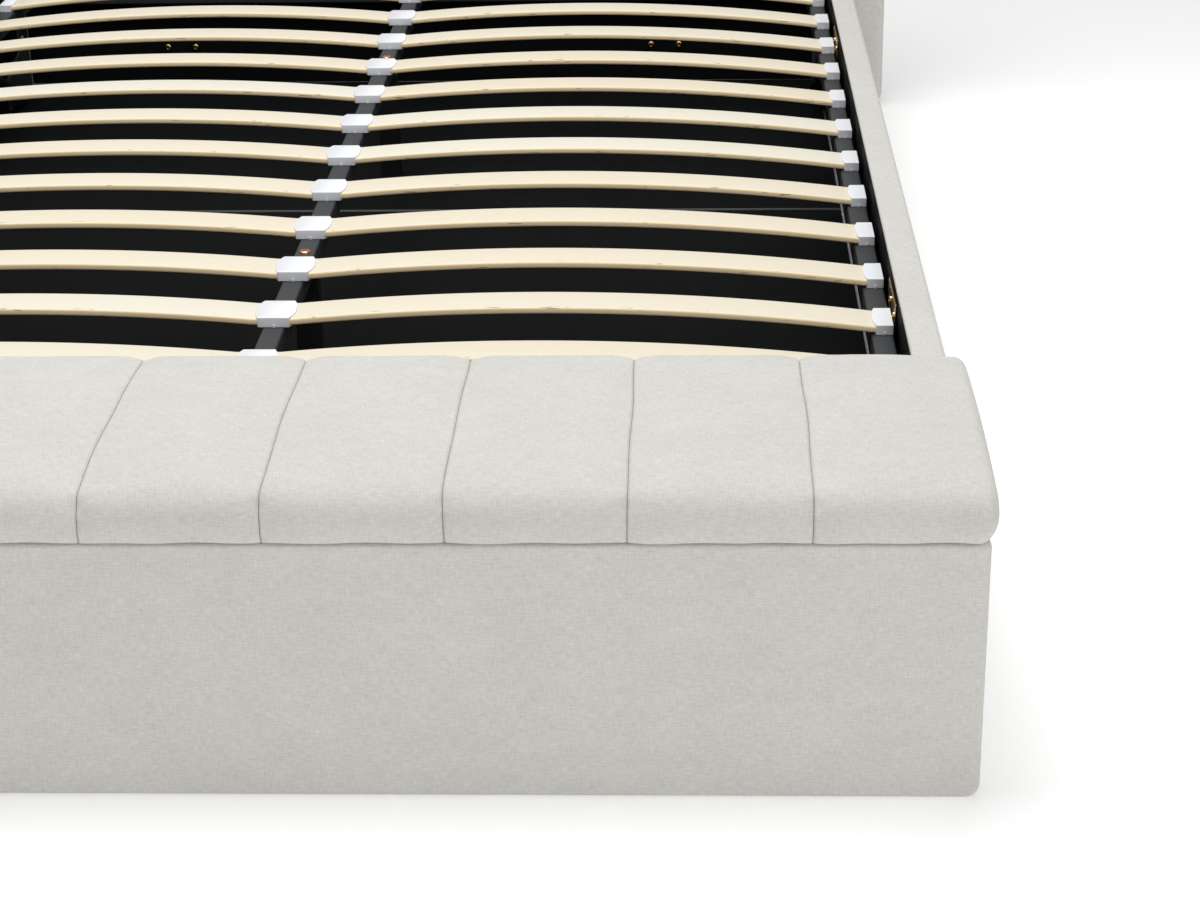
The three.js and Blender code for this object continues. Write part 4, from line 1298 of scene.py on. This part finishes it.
def grid_mesh(name, points):
    """A closed body from a grid of points: walls, underside and both ends."""
    columns, rows = points.shape[:2]
    verts = points.reshape(-1, 3)
    faces = []
    for column in range(columns - 1):
        for row in range(rows):
            following = (row + 1) % rows
            here, there = column * rows, (column + 1) * rows
            faces.append((here + row, there + row, there + following, here + following))
    faces.append(tuple(range(rows)))
    faces.append(tuple((columns - 1) * rows + row for row in reversed(range(rows))))
    mesh = bpy.data.meshes.new(name)
    mesh.from_pydata(verts.tolist(), [], faces)
    shape = bmesh.new()
    shape.from_mesh(mesh)
    bmesh.ops.recalc_face_normals(shape, faces=shape.faces)
    shape.to_mesh(mesh)
    shape.free()
    return mesh


def swollen(name, grid, columns, seams):
    """How far Cloth moves each point of the grid under pressure, capped."""
    piece = new_piece(name, grid_mesh(name, grid))
    held = piece.vertex_groups.new(name="held")
    rows = grid.shape[1]
    stapled = [*range(ROWS_HELD), *range(rows - ROWS_HELD, rows)]
    for number, x in enumerate(columns):
        at_seam = np.min(np.abs(seams - x)) < MM
        at_end = columns[-1] - abs(x) < END_HELD
        picked = range(rows) if at_seam or at_end else stapled
        held.add([number * rows + row for row in picked], 1.0, "REPLACE")
    swelling = piece.modifiers.new("swelling", "CLOTH")
    for key, value in CLOTH_SETTINGS.items():
        setattr(swelling.settings, key, value)
    swelling.settings.vertex_group_mass = held.name
    swelling.settings.effector_weights.gravity = 0
    swelling.collision_settings.use_collision = False
    for moment in range(1, CLOTH_FRAMES + 1):
        bpy.context.scene.frame_set(moment)
    graph = bpy.context.evaluated_depsgraph_get()
    result = piece.evaluated_get(graph).data
    places = np.empty(len(result.vertices) * 3)
    result.vertices.foreach_get("co", places)
    moved = places.reshape(grid.shape) - grid
    bpy.context.scene.frame_set(1)
    bpy.data.objects.remove(piece)
    length = np.linalg.norm(moved, axis=2, keepdims=True)
    print(name, "swelled by up to", round(float(length.max()) / MM, 1), "mm before the cap")
    return moved * (SWELL_LIMIT * np.tanh(length / SWELL_LIMIT) / np.maximum(length, 1e-9))


def finer(field, coarse, columns):
    """The coarse field of movement, read off at finer columns."""
    out = np.empty((len(columns), *field.shape[1:]))
    for row in range(field.shape[1]):
        for axis in range(3):
            out[:, row, axis] = np.interp(columns, coarse, field[:, row, axis])
    return out


print("cloth runs for", CLOTH_FRAMES, "frames at pressure", CLOTH_PRESSURE)

# %% [markdown]
# The last function puts the steps together. It also lays the map that the weave reads, across the bed
# and along the section, so that the threads run unbroken over the front edge.

# %% Make a pad
SIM_OFFSETS = np.arange(0, 84, 7) * MM
FINE_OFFSETS = np.array([0, 0.8, 1.6, 2.6, 4, 6, 9, 13, 18, 24, 31, 40, 50, 60, 70, 80]) * MM
UNEVEN = 0.5 * MM
UNEVEN_EDGE_SHARE = 0.08
BROAD_LUMPS, FINE_LUMPS = np.array((11, 15, 15)), np.array((34, 40, 40))
FINE_LUMPS_WEIGHT = 0.4
PAD_SHARP = math.radians(60)


def uneven(grid):
    """Small hand-made unevenness of the foam."""
    out = np.empty(grid.shape[:2])
    for spot in np.ndindex(out.shape):
        broad, fine = (noise.noise(grid[spot] * scales) for scales in (BROAD_LUMPS, FINE_LUMPS))
        out[spot] = broad + FINE_LUMPS_WEIGHT * fine
    return out


def make_pad(name, pad, to_bed, body, node):
    """A channelled pad in its place. to_bed turns (x, along, up) into the bed's own axes."""
    columns = pad.columns(FINE_OFFSETS[FINE_OFFSETS < pad.half_width / pad.channels - MM])
    grid, seamed = shaped(pad, columns, PAD_ROWS, fine=True)
    coarse = pad.columns(SIM_OFFSETS[SIM_OFFSETS < pad.half_width / pad.channels - 2 * MM])
    start = shaped(pad, coarse, PAD_ROWS)[0]
    grid += finer(swollen(name + "_swelling", start, coarse, pad.seams), coarse, columns)
    share = np.linspace(0, 1, PAD_ROWS)
    free = smooth_step(np.minimum(share, 1 - share) / UNEVEN_EDGE_SHARE)
    grid[:, :, 2] += UNEVEN * uneven(grid) * free
    mesh = grid_mesh(name, to_bed(grid))
    layer = mesh.uv_layers.new(name="cloth")
    steps = np.linalg.norm(np.diff(grid[len(columns) // 2], axis=0), axis=1)
    lengths = np.concatenate([[0], np.cumsum(steps)])
    for loop in mesh.loops:
        column, row = divmod(loop.vertex_index, PAD_ROWS)
        layer.data[loop.index].uv = (columns[column], lengths[row])
    # The seam attribute carries the painted shade of the seam grooves to the cloth finish.
    attribute = mesh.attributes.new("seam", "FLOAT", "POINT")
    attribute.data.foreach_set("value", seamed.reshape(-1).astype(np.float32))
    piece = smoothed(new_piece(name, mesh), PAD_SHARP)
    settle(piece, body, "woven_fabric", cloth)
    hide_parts(node)
    print(name, len(mesh.polygons), "faces")
    return piece


# %% [markdown]
# ## The bench lid
# The lid's section runs from its front edge over the top to the rear edge. Its front shoulder is a few
# millimetres lower than its rear one and its hem is not quite level. Its ends are tucked in hard at the
# lower corners, where the cloth is folded under and stapled.

# %% Bench lid
CHANNELS = 9
lid_low, lid_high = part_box("lid_cushion")
lid = Pad(
    lid_high.x, CHANNELS, lid_low.y, lid_high.y, lid_low.z, lid_high.z - 2 * MM,
    edge=26 * MM, crown=4 * MM, end_round=12 * MM, end_fall=3 * MM, lean=8 * MM, hem=2.2 * MM,
    seam_depth=5 * MM, tuck=9 * MM, notch=3 * MM, seed=5,
)
make_pad("bench_lid_pad", lid, lambda grid: grid, "lid", "lid_cushion")

# %% [markdown]
# ## The headboard's pad
# The same pad stood upright: its section runs from the lower edge to the upper one, and it faces the
# foot of the bed.

# %% Headboard pad
head_low, head_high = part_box("headboard_cushion")


def upright(grid):
    return np.stack([grid[:, :, 0], -grid[:, :, 2], grid[:, :, 1]], axis=2)


head_pad = Pad(
    head_high.x, CHANNELS, head_low.z, head_high.z, -head_high.y, -head_low.y,
    edge=20 * MM, crown=3 * MM, end_round=20 * MM, end_fall=0.0, lean=0.0, hem=0.0,
    seam_depth=6 * MM, tuck=0.0, notch=1.5 * MM, seed=8,
)
make_pad("headboard_pad", head_pad, upright, "base", "headboard_cushion")

# %% [markdown]
# ## The lift strap
# A loop of webbing on the foot tube, to pull the platform up by. A flat strip bent round an arc keeps
# its real thickness, so it is drawn as a section and given its width, not simulated.

# %% Strap
STRAP_THICKNESS = 2.5 * MM
STRAP_EASE = 0.4 * MM
STRAP_STEPS = 28
strap_low, strap_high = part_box("lift_strap")


def strap_loop():
    radius = (strap_high.y - strap_low.y) / 2
    middle = (strap_low.y + strap_high.y) / 2
    spring = strap_high.z - radius

    def outline_at(reach, foot):
        bend = arc((middle, spring), reach, 0, math.pi, STRAP_STEPS)
        return [(middle + reach, foot), *bend, (middle - reach, foot)]

    outside = outline_at(radius, strap_low.z)
    inside = outline_at(radius - STRAP_THICKNESS, strap_low.z + STRAP_THICKNESS)
    ends = (strap_low.x, strap_high.x)
    return hollow("lift_strap_piece", outside, inside, ends, lambda x, y, z: (x, y, z))


strap = smoothed(eased(strap_loop(), STRAP_EASE, 2))
settle(strap, "platform", "strap_web", webbing)
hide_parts("lift_strap")
print("strap", round((strap_high.x - strap_low.x) / MM, 1), "mm wide")
